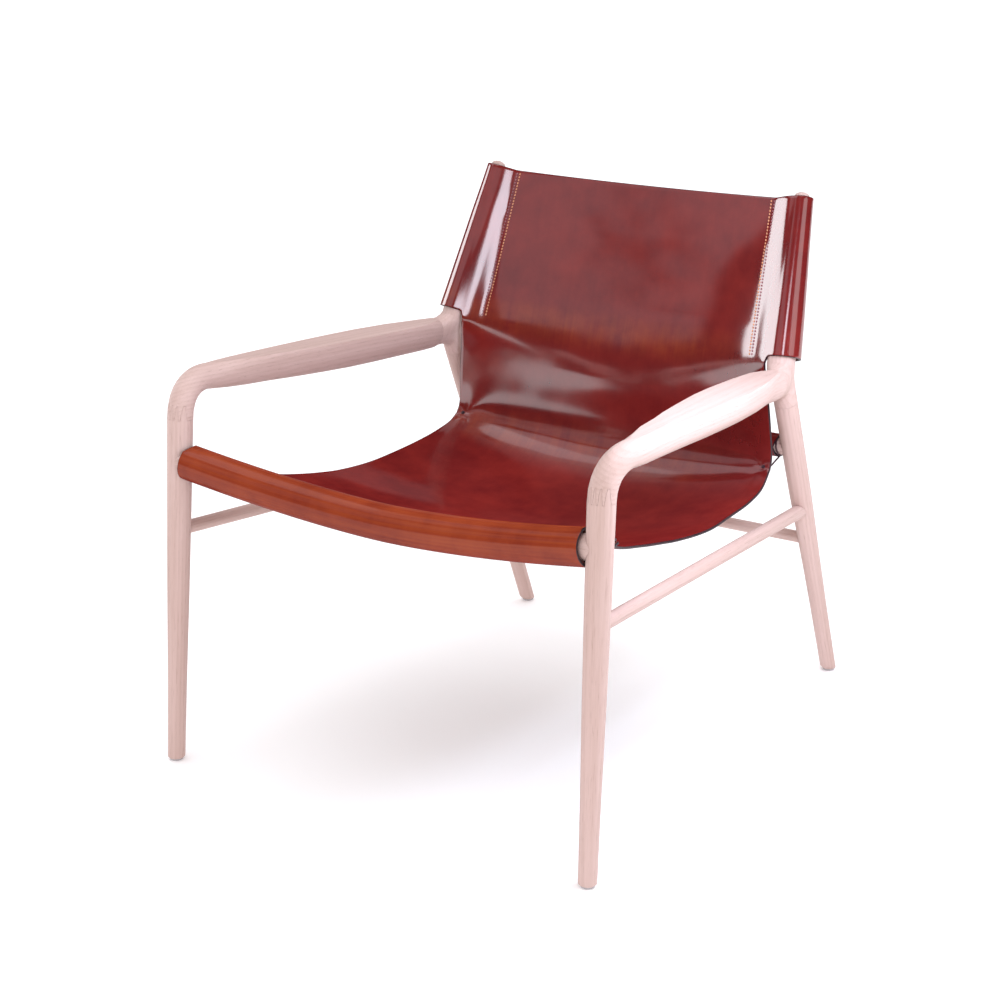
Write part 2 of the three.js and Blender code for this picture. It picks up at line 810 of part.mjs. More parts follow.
// The seat and the small of the back, as rows across the hide. Depths are shares of the
// way from the front rail to the lace holes, heights are shares of the front rail's height,
// and widths are shares of a half width that narrows from the roll's end to the lace hole.
const seatRowShares = [
  // edge depth, edge height, edge width, middle depth, middle height, fullness
  [0.136, 0.946, 0.9487, 0.186, 0.869, 2],
  [0.233, 0.89, 0.9287, 0.241, 0.83, 2.1],
  [0.328, 0.858, 0.9353, 0.311, 0.795, 2.2],
  [0.415, 0.834, 0.9526, 0.4, 0.755, 2.2],
  [0.498, 0.815, 0.9751, 0.495, 0.726, 2.2],
  [0.634, 0.798, 1.014, 0.63, 0.705, 2.2],
  [0.7535, 0.802, 1.0328, 0.741, 0.705, 2.2],
  [0.847, 0.8105, 1.0491, 0.8635, 0.723, 2.2],
  [0.919, 0.8256, 1.0525, 0.9336, 0.749, 2.3],
  [0.97, 0.849, 1.0434, 0.984, 0.785, 2.4],
  [0.995, 0.874, 1.0411, 1.019, 0.842, 2.7],
  [1.004, 0.92, 1.0368, 1.0365, 0.926, 3],
  [1.0003, 1.003, 1.0271, 1.042, 1.035, 3.2],
  [0.995, 1.116, 1.0081, 1.0506, 1.11, 3.4],
  [0.9915, 1.2, 0.9988, 1.0612, 1.172, 3.5],
];
const notchReach = 23;
const notchRowShares = [[-0.02, 0.0924], [0.02, 0.0904]];
const sleeveRowShares = [
  // share of the sleeve's height, and sag of the back in shares of its width
  [0.05, 0.0745],
  [0.3, 0.066],
  [0.55, 0.054],
  [0.78, 0.04],
  [1, 0.028],
];

function hideRows(lines) {
  const rail = lines.right.frontRail;
  const hole = lines.right.laceHole;
  const depth = hole.y - rail.y;
  const narrowing = hole.x + rollEnds(lines).left;
  const rows = seatRowShares.map(([back, up, wide, midBack, midUp, fullness]) => {
    const half = wide * (narrowing * Math.min(back, 1) - rollEnds(lines).left);
    return {
      edge: new THREE.Vector3(half, rail.y + back * depth, up * rail.z),
      middle: new THREE.Vector3(0, rail.y + midBack * depth, midUp * rail.z),
      fullness,
    };
  });
  rows.unshift(rollTailRow(lines));
  const sagging = (share, reach, sag, fullness) => {
    const edge = frontLayer(lines.right, 1, share, reach);
    const { front } = sleevePlace(lines.right, 1, share);
    const middle = along(edge, front, -sag * 2 * edge.x).setX(0);
    return { edge, middle, fullness };
  };
  for (const [share, sag] of notchRowShares) rows.push(sagging(share, notchReach, sag, 3.5));
  for (const [share, sag] of sleeveRowShares) {
    rows.push(sagging(share, seamReach(share), sag, 3.4 - 1.2 * share));
  }
  return rows;
}

// The row of the hide inside the blunt tail of the front roll.
function rollTailRow(lines) {
  const reach = rollTail - seamLap / 2;
  const inTail = (share) => {
    const { centre, back, up } = rollPlace(lines, share);
    return along(along(centre, back, reach), up, hideThickness / 2);
  };
  const edge = inTail(rollEnds(lines).right / lines.right.frontRail.x);
  return { edge, middle: inTail(0), fullness: frontRailCurveShare };
}

// The hide as rows of points in the middle of its thickness.
function hideGrid(lines) {
  const rows = hideRows(lines);
  const smooth = (key) =>
    new THREE.CatmullRomCurve3(rows.map((row) => row[key]), false, "centripetal");
  const [edges, middles] = [smooth("edge"), smooth("middle")];
  return Array.from({ length: hideSteps + 1 }, (_, i) => {
    const t = i / hideSteps;
    const [edge, middle] = [edges.getPoint(t), middles.getPoint(t)];
    const place = t * (rows.length - 1);
    const before = rows[Math.floor(place)];
    const after = rows[Math.min(Math.floor(place) + 1, rows.length - 1)];
    const fullness = before.fullness + (after.fullness - before.fullness) * (place % 1);
    return Array.from({ length: hideColumns + 1 }, (_, j) => {
      const across = (2 * j) / hideColumns - 1;
      const point = between(middle, edge, Math.abs(across) ** fullness);
      return point.setX(across * edge.x);
    });
  });
}

// A sheet of even thickness about a grid of points.
function sheet(grid, thickness) {
  const [rows, columns] = [grid.length, grid[0].length];
  const inside = (i, count) => Math.min(Math.max(i, 0), count - 1);
  const at = (i, j) => grid[inside(i, rows)][inside(j, columns)];
  const faceOf = (way) => grid.map((line, i) => line.map((point, j) => {
    const down = at(i + 1, j).clone().sub(at(i - 1, j));
    const over = at(i, j + 1).clone().sub(at(i, j - 1));
    return along(point, over.cross(down).normalize(), (way * thickness) / 2);
  }));
  const points = [...faceOf(1).flat(), ...faceOf(-1).flat()];
  const under = rows * columns;
  const faces = [];
  const quad = (a, b, c, d) => faces.push(a, b, c, a, c, d);
  for (let i = 0; i + 1 < rows; i++) {
    for (let j = 0; j + 1 < columns; j++) {
      const a = i * columns + j;
      quad(a, a + 1, a + columns + 1, a + columns);
      quad(under + a + columns, under + a + columns + 1, under + a + 1, under + a);
    }
  }
  const rim = [];
  for (let j = 0; j < columns; j++) rim.push(j);
  for (let i = 1; i < rows; i++) rim.push(i * columns + columns - 1);
  for (let j = columns - 2; j >= 0; j--) rim.push((rows - 1) * columns + j);
  for (let i = rows - 2; i > 0; i--) rim.push(i * columns);
  rim.forEach((a, k) => {
    const b = rim[(k + 1) % rim.length];
    quad(b, a, under + a, under + b);
  });
  return solidOf(skin(points, faces));
}

function makeSling(lines) {
  let sling = sheet(hideGrid(lines), hideThickness)
    .add(frontRoll(lines))
    .add(postSleeve(lines.left, -1))
    .add(postSleeve(lines.right, 1));
  for (const hole of [lines.left.laceHole, lines.right.laceHole]) {
    const through = new THREE.Vector3(0, -1, 1).normalize();
    const reach = hideThickness * 3;
    sling = sling.subtract(
      rod(along(hole, through, -reach), along(hole, through, reach), laceHoleRadius, holeSides),
    );
  }
  return sling;
}

const laceStepShares = [
  // steps outwards, backwards and upwards from the hole, in shares of the lace's lift
  [0, 0, 0],
  [0, -1.2, 1.2],
  [1.5, -3.1, 1.05],
  [3.5, -3.7, 0.4],
  [5.1, -3.6, -1.3],
  [4.7, -1.5, -0.85],
];
const laceTurnShares = [
  // degrees round the rail, and the lace's shares of the climb and shift onto the tube
  [-80, 0, 0],
  [-40, 1.1, 0],
  [0, 1.1, 0.5],
  [45, 1, 1],
  [90, 1, 1],
  [140, 1, 1],
];

// A lace: a closed loop through the hole, round the hide's edge, under the rear rail's
// bare end and back over its leather tube.
function makeLace(lines, side) {
  const rail = lines.rearRail;
  const gap = laceRadius + fit;
  const lift = hideThickness / 2 + gap;
  const hole = lines.laceHole;
  const route = laceStepShares.map(([out, back, up]) =>
    hole.clone().add(new THREE.Vector3(side * out, back, up).multiplyScalar(lift)),
  );
  for (const [degrees, climb, shift] of laceTurnShares) {
    const angle = THREE.MathUtils.degToRad(degrees);
    const wrap = rearRailRadius + gap + 2 * fit + (hideThickness + fit) * climb;
    const inset = laceUnderInset + (laceOverInset - laceUnderInset) * shift;
    route.push(new THREE.Vector3(
      rail.x - side * inset, rail.y + wrap * Math.cos(angle), rail.z + wrap * Math.sin(angle),
    ));
  }
  const behind = new THREE.Vector3(0, 1, -1).normalize();
  route.push(along(hole, behind, 2.5 * lift), along(hole, behind, lift));
  const curve = new THREE.CatmullRomCurve3(route, true, "centripetal");
  const frames = curve.computeFrenetFrames(laceSteps, true);
  const rings = Array.from({ length: laceSteps }, (_, i) =>
    ring(curve.getPointAt(i / laceSteps), frames.normals[i], frames.binormals[i],
      circle(laceRadius, laceSides)),
  );
  return loopLoft(rings);
}

// The chair

function makeSide(word, lines, other) {
  const side = sides[word];
  const own = lines[word];
  const frontHost = frontLegBlank(own, fit, overrun);
  const rearHost = rearLegBlank(own, fit, overrun);
  const radii = [sideStretcherFrontRadius, sideStretcherRearRadius];
  const stretcher = makeStretcher(
    own.stretcherFront, own.stretcherRear, radii, stretcherTenonRadius, [frontHost, rearHost],
  );
  const rearJoint = armRearJoint(own, side);
  const pieces = [
    ["front_leg", makeFrontLeg(own, side), oak],
    ["rear_leg", makeRearLeg(own, side), oak],
    ["back_post", makePost(own, side), oak],
    ["arm", makeArm(own, side), oak],
    ["side_stretcher", stretcher, oak],
    ["knuckle_dowel", dowel(own.kneeJoint, towards(own.heel, own.knee)), oakEnd],
    ["arm_dowel", dowel(rearJoint.centre, rearJoint.direction), oakEnd],
    ["front_glide", makeGlide(own.foot), glideFinish],
    ["rear_glide", makeGlide(own.heel), glideFinish],
    ["lace", makeLace(own, side), laceFinish],
  ];
  return pieces.map(([name, solid, finish]) => meshOf(name + "_" + word, solid, finish));
}

function makeChair() {
  const lines = { left: frameLines(-1), right: frameLines(1) };
  const frame = new THREE.Group();
  for (const word of Object.keys(sides)) frame.add(...makeSide(word, lines));
  const hosts = [rearLegBlank(lines.left, fit, overrun), rearLegBlank(lines.right, fit, overrun)];
  const radii = [rearStretcherRadius, rearStretcherRadius];
  const rear = makeStretcher(
    lines.left.rearStretcher, lines.right.rearStretcher, radii, stretcherTenonRadius, hosts,
  );
  frame.add(
    meshOf("front_rail", makeFrontRail(lines), oak),
    meshOf("rear_rail", makeRearRail(lines), oak),
    meshOf("rear_stretcher", rear, oak),
    meshOf("rear_rail_sleeve", makeRailSleeve(lines), leather),
    meshOf("leather_sling", makeSling(lines), leather),
  );
  return frame;
}

// The chair stands with the middle of its plan on the origin.
const chair = new THREE.Group();
const body = makeChair();
const plan = new THREE.Box3().setFromObject(body).getCenter(new THREE.Vector3());
body.position.set(-plan.x, -plan.y, 0);
chair.add(body);

export default chair;
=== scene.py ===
"""The looks of a leather sling lounge chair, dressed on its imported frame.

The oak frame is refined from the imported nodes. The hide is made again as one cut sheet of
thick leather: a panel that is slung from the front rail and the back posts, a roll round
the front rail, and a wing that wraps each post. Units are metres, +Z is up, the sitter
faces -Y, and left is -X.
"""

from __future__ import annotations

import logging
import math
from dataclasses import dataclass, field
from enum import Enum
from typing import Callable, Iterable, Mapping, Sequence

import bmesh
import bpy
from bmesh.types import BMEdge, BMesh, BMFace, BMLayerItem, BMVert
from bpy.types import Material, NodeSocket, Object
from mathutils import Matrix, Vector, noise
from mathutils.bvhtree import BVHTree

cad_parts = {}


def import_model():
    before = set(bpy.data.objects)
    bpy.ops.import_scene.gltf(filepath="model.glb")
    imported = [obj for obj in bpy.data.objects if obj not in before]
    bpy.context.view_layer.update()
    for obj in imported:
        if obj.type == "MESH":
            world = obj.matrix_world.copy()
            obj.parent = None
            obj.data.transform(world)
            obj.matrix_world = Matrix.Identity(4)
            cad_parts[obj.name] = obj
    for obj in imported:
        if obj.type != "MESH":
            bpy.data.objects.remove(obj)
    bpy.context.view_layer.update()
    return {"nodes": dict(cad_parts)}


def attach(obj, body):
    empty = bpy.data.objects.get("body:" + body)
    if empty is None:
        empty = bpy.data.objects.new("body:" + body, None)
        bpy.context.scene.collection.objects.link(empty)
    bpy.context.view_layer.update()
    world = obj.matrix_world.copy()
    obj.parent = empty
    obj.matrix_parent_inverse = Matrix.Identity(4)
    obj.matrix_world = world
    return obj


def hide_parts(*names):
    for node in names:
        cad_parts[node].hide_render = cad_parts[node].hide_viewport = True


log = logging.getLogger("chair")

Colour = tuple[float, float, float]
ROOT = "root"

LEATHER = 0.0034  # how thick the hide and the rail's tube are
LAYER_GAP = 0.0003  # between two layers of leather
EDGE_ROUND = 0.0006  # the radius of a cut edge
UP = Vector((0, 0, 1))


class Side(Enum):
    """A side of the chair, as seen from the front."""

    LEFT = -1
    RIGHT = 1

    @property
    def word(self) -> str:
        """The side's name in piece names."""
        return self.name.lower()


class Use(Enum):
    """What a light is for: its mirror image in the leather, or its light on the chair."""

    GLOSS = (False, True)
    FILL = (True, False)


class Slot(Enum):
    """Names of the record's material slots, which no piece here takes."""

    OAK = "oak"
    LEATHER = "leather"
    LACE = "lace"


# Shader expressions


class Shade:
    """A value, colour or vector on its way through a material."""

    def __init__(self, paint: Paint, socket: NodeSocket) -> None:
        """Wraps one output socket."""
        self.paint = paint
        self.socket = socket

    def _math(self, operation: str, *values: Shade | float) -> Shade:
        """Adds a Math node that works on the given values."""
        return self.paint.node("ShaderNodeMath", {"operation": operation}, list(values))

    def __add__(self, other: Shade | float) -> Shade:
        """This plus other."""
        return self._math("ADD", self, other)

    def __sub__(self, other: Shade | float) -> Shade:
        """This minus other."""
        return self._math("SUBTRACT", self, other)

    def __rsub__(self, other: float) -> Shade:
        """Other minus this."""
        return self._math("SUBTRACT", other, self)

    def __mul__(self, other: Shade | float) -> Shade:
        """This times other."""
        return self._math("MULTIPLY", self, other)

    def __truediv__(self, other: Shade | float) -> Shade:
        """This over other."""
        return self._math("DIVIDE", self, other)

    def __pow__(self, other: float) -> Shade:
        """This to a power."""
        return self._math("POWER", self, other)

    __radd__ = __add__
    __rmul__ = __mul__

    def fraction(self) -> Shade:
        """The part after the point."""
        return self._math("FRACT", self)

    def least(self, other: Shade | float) -> Shade:
        """The smaller of this and other."""
        return self._math("MINIMUM", self, other)

    def most(self, other: Shade | float) -> Shade:
        """The larger of this and other."""
        return self._math("MAXIMUM", self, other)

    def step(self, low: float, high: float) -> Shade:
        """A smooth step.

        Args:
            low: The value at which the step is 0.
            high: The value at which the step is 1, which may be below low.

        Returns:
            A value from 0 to 1.
        """
        if low > high:
            return 1 - self.step(high, low)
        settings = {"interpolation_type": "SMOOTHSTEP"}
        return self.paint.node("ShaderNodeMapRange", settings, [self, low, high, 0, 1])


class Paint:
    """One material under construction."""

    def __init__(self, name: str) -> None:
        """Starts a material with no nodes.

        Args:
            name: The material's name.
        """
        self.material = bpy.data.materials.new(name)
        self.material.use_nodes = True
        self.tree = self.material.node_tree
        self.tree.nodes.clear()

    def node(
        self,
        kind: str,
        settings: Mapping[str, object] | None = None,
        values: Sequence | Mapping | None = None,
        output: int | str = 0,
    ) -> Shade:
        """Adds a node.

        Args:
            kind: Blender's name for the node's type.
            settings: The node's own properties, set first.
            values: Values or links for its sockets, in order or by name or number.
            output: The output that is wanted.

        Returns:
            That output.
        """
        made = self.tree.nodes.new(kind)
        for key, value in (settings or {}).items():
            setattr(made, key, value)
        pairs = values.items() if isinstance(values, Mapping) else enumerate(values or [])
        for key, value in pairs:
            if isinstance(value, Shade):
                self.tree.links.new(value.socket, made.inputs[key])
            else:
                made.inputs[key].default_value = value
        return Shade(self, made.outputs[output])

    def object_place(self) -> Shade:
        """The point's place in the chair's frame."""
        return self.node("ShaderNodeTexCoord", output="Object")

    def uv(self) -> Shade:
        """The point's place on the flat hide."""
        return self.node("ShaderNodeTexCoord", output="UV")

    def _vector_math(
        self, operation: str, vector: Shade, other: Sequence[float], output: int | str
    ) -> Shade:
        """Adds a Vector Math node.

        Args:
            operation: What it works out.
            vector: The vector that varies.
            other: The vector that doesn't.
            output: The output that is wanted.

        Returns:
            That output.
        """
        values = [vector, tuple(other)]
        return self.node("ShaderNodeVectorMath", {"operation": operation}, values, output)

    def dot(self, vector: Shade, direction: Sequence[float]) -> Shade:
        """How far a vector goes along a direction."""
        return self._vector_math("DOT_PRODUCT", vector, direction, "Value")

    def vector(self, x: Shade | float, y: Shade | float, z: Shade | float) -> Shade:
        """A vector from its parts."""
        return self.node("ShaderNodeCombineXYZ", None, [x, y, z])

    def parts(self, vector: Shade) -> tuple[Shade, Shade, Shade]:
        """The three parts of a vector."""
        split = self.node("ShaderNodeSeparateXYZ", None, [vector]).socket.node
        return tuple(Shade(self, out) for out in split.outputs)

    def cloud(self, place: Shade, scale: float, detail: float = 2, rough: float = 0.5) -> Shade:
        """Soft noise from 0 to 1.

        Args:
            place: Where it is read.
            scale: Blobs in a metre.
            detail: How many finer layers it has.
            rough: How strong the finer layers are.

        Returns:
            The noise.
        """
        values = {"Vector": place, "Scale": scale, "Detail": detail, "Roughness": rough}
        return self.node("ShaderNodeTexNoise", {"noise_dimensions": "3D"}, values)

    def distance(self, place: Shade, point: Sequence[float]) -> Shade:
        """The distance from a fixed point."""
        return self._vector_math("DISTANCE", place, point, "Value")

    def shift(self, place: Shade, point: Sequence[float]) -> Shade:
        """A place as seen from a fixed point."""
        return self._vector_math("SUBTRACT", place, point, 0)

    def mix(self, share: Shade | float, low: Shade | Colour, high: Shade | Colour) -> Shade:
        """A colour between two others.

        Args:
            share: From 0 for the first colour to 1 for the second.
            low: The first colour.
            high: The second colour.

        Returns:
            The colour.
        """
        low, high = (c if isinstance(c, Shade) else (*c, 1) for c in (low, high))
        return self.node("ShaderNodeMix", {"data_type": "RGBA"}, {0: share, 6: low, 7: high}, 2)

    def bump(self, height: Shade, depth: float, strength: float = 1.0) -> Shade:
        """A normal that is bent by a height.

        Args:
            height: The height, from 0 to 1.
            depth: The real height of 1.
            strength: How much of it shows.

        Returns:
            The normal.
        """
        values = {"Strength": strength, "Distance": depth, "Height": height}
        return self.node("ShaderNodeBump", None, values)

    def finish(self, values: Mapping[str, object]) -> Material:
        """Ends the material in a Principled shader.

        Args:
            values: Values or links for the shader's sockets.

        Returns:
            The material.
        """
        shader = self.node("ShaderNodeBsdfPrincipled", None, values)
        surface = self.tree.nodes.new("ShaderNodeOutputMaterial").inputs["Surface"]
        self.tree.links.new(shader.socket, surface)
        return self.material


# Finishes


@dataclass(frozen=True)
class Knot:
    """A small dark knot: where it is and how wide it is across the grain."""

    middle: Vector
    radius: float


@dataclass(frozen=True)
class OakFinish:
    """Soaped oak: pale and pinkish, with straight grain, fine pores and flat rings."""

    pale: Colour = (0.650, 0.468, 0.432)
    warm: Colour = (0.470, 0.305, 0.255)
    pore: Colour = (0.330, 0.200, 0.160)
    knot_heart: Colour = (0.120, 0.062, 0.050)
    ring_pitch: float = 0.0052
    ring_drift: float = 0.012
    pith_depth: float = 0.085
    pith_shift: float = 0.004
    pore_depth: float = 0.00022
    roughness: float = 0.52

    def material(
        self, name: str, along: Vector, seed: float, knots: Sequence[Knot] = ()
    ) -> Material:
        """Makes the wood for one piece.

        Args:
            name: The material's name.
            along: The direction of the piece's grain.
            seed: A number that sets this board apart from the others.
            knots: The knots that show on it.

        Returns:
            The material.
        """
        paint = Paint(name)
        place = paint.object_place()
        length = along.normalized()
        across = length.orthogonal().normalized()
        spin = Matrix.Rotation(seed, 3, length)
        across = spin @ across
        deep = length.cross(across)
        a, b, c = (paint.dot(place, d) for d in (across, deep, length))

        def grain(wide: float, long: float, detail: float, rough: float = 0.5) -> Shade:
            """Noise drawn out along the grain, by its blobs in a metre across and along it."""
            drawn = paint.vector(a * wide, b * wide, c * long + seed)
            return paint.cloud(drawn, 1.0, detail, rough)

        drift = grain(6, 1.1, 2)
        run_a = a + self.pith_depth + drift * self.ring_drift
        run_b = b + seed * self.pith_shift
        ring = ((run_a * run_a + run_b * run_b) ** 0.5) / self.ring_pitch
        late = ring.fraction()
        late = late.step(0.25, 0.95) * late.step(1.0, 0.96)
        fibre = grain(430, 8, 3, 0.6)
        streak = grain(120, 3, 2)
        board = grain(12, 3, 2)
        pores = grain(1300, 45, 1)
        pores = pores.step(0.60, 0.70) * (late * 0.6 + 0.4)
        tone = late * 0.16 + fibre * 0.44 + streak * 0.62 + board * 0.55 - 0.50
        colour = paint.mix(tone.most(0).least(1), self.pale, self.warm)
        colour = paint.mix(pores * 0.42, colour, self.pore)
        for knot in knots:
            off = paint.shift(place, knot.middle)
            across_off = paint.dot(off, across) * 1.5 + drift * 0.003 - 0.0015
            parts = (across_off, paint.dot(off, deep), paint.dot(off, length) * 0.38)
            apart = paint.distance(paint.vector(*parts), (0.0, 0.0, 0.0))
            halo = apart.step(knot.radius * 3.2, knot.radius * 0.7)
            colour = paint.mix(halo * fibre.step(0.35, 0.7) * 0.55, colour, self.warm)
            colour = paint.mix(apart.step(knot.radius, 0.0) * 0.85, colour, self.knot_heart)
        height = fibre * 0.5 + late * 0.3 - pores * 0.7
        rough = self.roughness + fibre * 0.12 + pores * 0.1
        return paint.finish({
            "Base Color": colour,
            "Roughness": rough,
            "Specular IOR Level": 0.32,
            "Normal": paint.bump(height, self.pore_depth, 0.55),
        })


@dataclass(frozen=True)
class LeatherFinish:
    """Thick burnished hide: deep red-brown, mottled, with a waxed gloss."""

    deep: Colour = (0.112, 0.0080, 0.0092)
    red: Colour = (0.226, 0.0200, 0.0160)
    # an orange painted as sheen, in bands over the fold and across the small of the back
    sheen_orange: Colour = (0.295, 0.0530, 0.0140)
    tan: Colour = (0.325, 0.0600, 0.0170)
    roughness: float = 0.27
    grain_depth: float = 0.0003
    seat_coat: float = 0.16
    more_coat: float = 0.80
    # lengths along the flat hide, where a look starts and where it is whole
    roll: tuple[float, float] = (0.012, -0.022)
    face_top: tuple[float, float] = (-0.030, -0.058)
    face_bottom: tuple[float, float] = (-0.135, -0.100)
    polish: tuple[float, float] = (0.42, 0.60)
    # bands of painted orange sheen along it: their middle and half their width, and how far out
    # they reach
    fold: tuple[float, float] = (0.520, 0.050)
    small_of_back: tuple[float, float] = (0.700, 0.036)
    reach: tuple[float, float] = (0.27, 0.05)

    def material(self, name: str) -> Material:
        """Makes the grain side of the hide."""
        paint = Paint(name)
        place = paint.object_place()
        across, along, _ = paint.parts(paint.uv())
        broad = paint.cloud(place, 6.5, 3, 0.6)
        mottle = paint.cloud(place, 30, 4, 0.62)
        fine = paint.cloud(place, 260, 3, 0.6)
        brush = paint.cloud(paint.vector(across * 420, along * 7, 0.5), 1.0, 1, 0.4)
        brush = brush.step(0.15, 0.85)
        swathe = paint.cloud(paint.vector(across * 60, along * 4, 4.5), 1.0, 2, 0.5)
        rub = paint.cloud(paint.vector(across * 7, along * 330, 2.5), 1.0, 1, 0.4)
        rub = rub.step(0.15, 0.85)
        roll = along.step(*self.roll)
        streak = brush * (1 - roll) + rub * roll
        tone = broad * 0.85 + mottle * 0.60 + streak * 0.04 + swathe * 0.08 - 0.37
        colour = paint.mix(tone.step(0.0, 0.85), self.deep, self.red)
        # painted orange sheen: mottled bands over the fold and across the small of the back
        worn = self._worn(along, across) * (mottle * 1.1 + swathe * 0.8 + brush * 0.15 - 0.68)
        colour = paint.mix(worn.most(0).least(1), colour, self.sheen_orange)
        front = along.step(*self.face_top) * along.step(*self.face_bottom)
        warm = front * (broad * 0.9 + rub * 0.30 + mottle * 0.5 - 0.30)
        colour = paint.mix(warm.most(0).least(1), colour, self.tan)
        height = fine * 0.42 + streak * 0.06 + mottle * 0.5
        rough = self.roughness + mottle * 0.14 + streak * 0.03 - 0.09
        return paint.finish({
            "Base Color": colour,
            "Roughness": rough,
            "Specular IOR Level": 0.0,
            "Coat Weight": self.seat_coat + along.step(*self.polish) * self.more_coat,
            "Coat IOR": 2.2,
            "Coat Roughness": 0.12,
            "Normal": paint.bump(height, self.grain_depth, 0.28),
        })

    def _worn(self, along: Shade, across: Shade) -> Shade:
        """Where a lighter orange sheen is painted: over the fold and across the small of the back.

        Args:
            along: The length along the flat hide.
            across: The distance across it.

        Returns:
            How worn it is.
        """
        fold, back = (self._band(along, *band) for band in (self.fold, self.small_of_back))
        return (fold * 0.6 + back * 0.8) * across.step(*self.reach)

    @staticmethod
    def _band(value: Shade, middle: float, half: float) -> Shade:
        """A soft band that is 1 in its middle and 0 at its sides."""
        return value.step(middle - half, middle) * value.step(middle + half, middle)


@dataclass(frozen=True)
class FleshFinish:
    """The hide's flesh side: matt, fibrous and browner."""

    dark: Colour = (0.105, 0.022, 0.018)
    light: Colour = (0.20, 0.060, 0.035)

    def material(self, name: str) -> Material:
        """Makes the material."""
        paint = Paint(name)
        place = paint.object_place()
        nap = paint.cloud(place, 420, 4, 0.65)
        broad = paint.cloud(place, 14, 3, 0.6)
        colour = paint.mix((nap * 0.6 + broad * 0.6 - 0.1).step(0.1, 0.9), self.dark, self.light)
        return paint.finish({
            "Base Color": colour,
            "Roughness": 0.78 + nap * 0.12,
            "Specular IOR Level": 0.3,
            "Normal": paint.bump(nap, 0.0003, 0.4),
        })


@dataclass(frozen=True)
class EdgeFinish:
    """The burnished cut edge of the hide: near black with a purple cast."""

    dark: Colour = (0.016, 0.007, 0.012)
    worn: Colour = (0.055, 0.018, 0.022)

    def material(self, name: str) -> Material:
        """Makes the material."""
        paint = Paint(name)
        rub = paint.cloud(paint.object_place(), 160, 3, 0.6)
        colour = paint.mix(rub.step(0.35, 0.75), self.dark, self.worn)
        return paint.finish({
            "Base Color": colour,
            "Roughness": 0.32 + rub * 0.2,
            "Normal": paint.bump(rub, 0.0003, 0.3),
        })


@dataclass(frozen=True)
class ThreadFinish:
    """Waxed thread or a leather thong, with a twist."""

    light: Colour
    dark: Colour

    def material(self, name: str) -> Material:
        """Makes the material."""
        paint = Paint(name)
        place = paint.object_place()
        ply = paint.cloud(place, 900, 2)
        soil = paint.cloud(place, 60, 2)
        colour = paint.mix((ply * 0.5 + soil * 0.6 - 0.1).least(1), self.light, self.dark)
        return paint.finish({
            "Base Color": colour,
            "Roughness": 0.55 + ply * 0.1,
            "Normal": paint.bump(ply, 0.0002, 0.4),
        })


ORANGE_THREAD = ThreadFinish((0.72, 0.32, 0.17), (0.50, 0.19, 0.10))
PLUM_THREAD = ThreadFinish((0.42, 0.17, 0.19), (0.12, 0.03, 0.04))
DARK_THONG = ThreadFinish((0.055, 0.016, 0.026), (0.030, 0.009, 0.014))


@dataclass(frozen=True)
class GlideFinish:
    """Worn grey nylon with fine scratches from the floor."""

    tone: Colour = (0.42, 0.38, 0.39)
    scuff: Colour = (0.58, 0.55, 0.55)

    def material(self, name: str) -> Material:
        """Makes the material."""
        paint = Paint(name)
        place = paint.object_place()
        scratch = paint.cloud(place, 700, 4, 0.7)
        colour = paint.mix(scratch.step(0.45, 0.7), self.tone, self.scuff)
        return paint.finish({
            "Base Color": colour,
            "Roughness": 0.45 + scratch * 0.25,
            "Normal": paint.bump(scratch, 0.0001, 0.4),
        })


# Helpers for meshes


def new_piece(
    name: str, bm: BMesh, materials: Iterable[Material], replaced: Sequence[str] = ()
) -> Object:
    """Turns a bmesh into a piece that rides on the chair.

    Args:
        name: The piece's name.
        bm: Its mesh, which is freed.
        materials: Its materials in order.
        replaced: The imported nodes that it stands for.

    Returns:
        The piece.
    """
    mesh = bpy.data.meshes.new(name)
    bm.to_mesh(mesh)
    bm.free()
    piece = bpy.data.objects.new(name, mesh)
    bpy.context.scene.collection.objects.link(piece)
    for material in materials:
        mesh.materials.append(material)
    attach(piece, ROOT)
    if replaced:
        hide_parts(*replaced)
    log.info("%s: %d faces", name, len(mesh.polygons))
    return piece


def add_modifier(piece: Object, kind: str, **settings: object) -> None:
    """Gives a piece a modifier.

    Args:
        piece: The piece.
        kind: Blender's name for the modifier's type.
        settings: The modifier's properties.
    """
    modifier = piece.modifiers.new(kind.title(), kind)
    for key, value in settings.items():
        setattr(modifier, key, value)


def smooth_all(bm: BMesh) -> None:
    """Shades every face smooth."""
    for face in bm.faces:
        face.smooth = True


def order_faces(bm: BMesh) -> None:
    """Puts the faces in the order of their corners, because extruding leaves them in none."""
    bm.verts.index_update()
    count = len(bm.verts)

    def place(face: BMFace) -> float:
        """A number that no other face has."""
        first, second, third = sorted(vert.index for vert in face.verts)[:3]
        return (first * count + second) * count + third

    bm.faces.sort(key=place)
    bm.faces.index_update()


def draw_out(
    bm: BMesh, edges: Sequence[BMEdge], layer: BMLayerItem | None = None
) -> tuple[list[BMVert], list[BMEdge]]:
    """Extrudes a row of edges.

    Args:
        bm: The mesh.
        edges: The row.
        layer: A value that changes along an open row, which tells the new row from the two
            edges that join its ends to the old one.

    Returns:
        The new corners and the new row.
    """
    made = bmesh.ops.extrude_edge_only(bm, edges=edges)["geom"]
    verts = [g for g in made if isinstance(g, BMVert)]
    row = [g for g in made if isinstance(g, BMEdge) and g.is_boundary]
    if layer is not None:
        row = [e for e in row if abs(e.verts[0][layer] - e.verts[1][layer]) > 1e-6]
    return verts, row


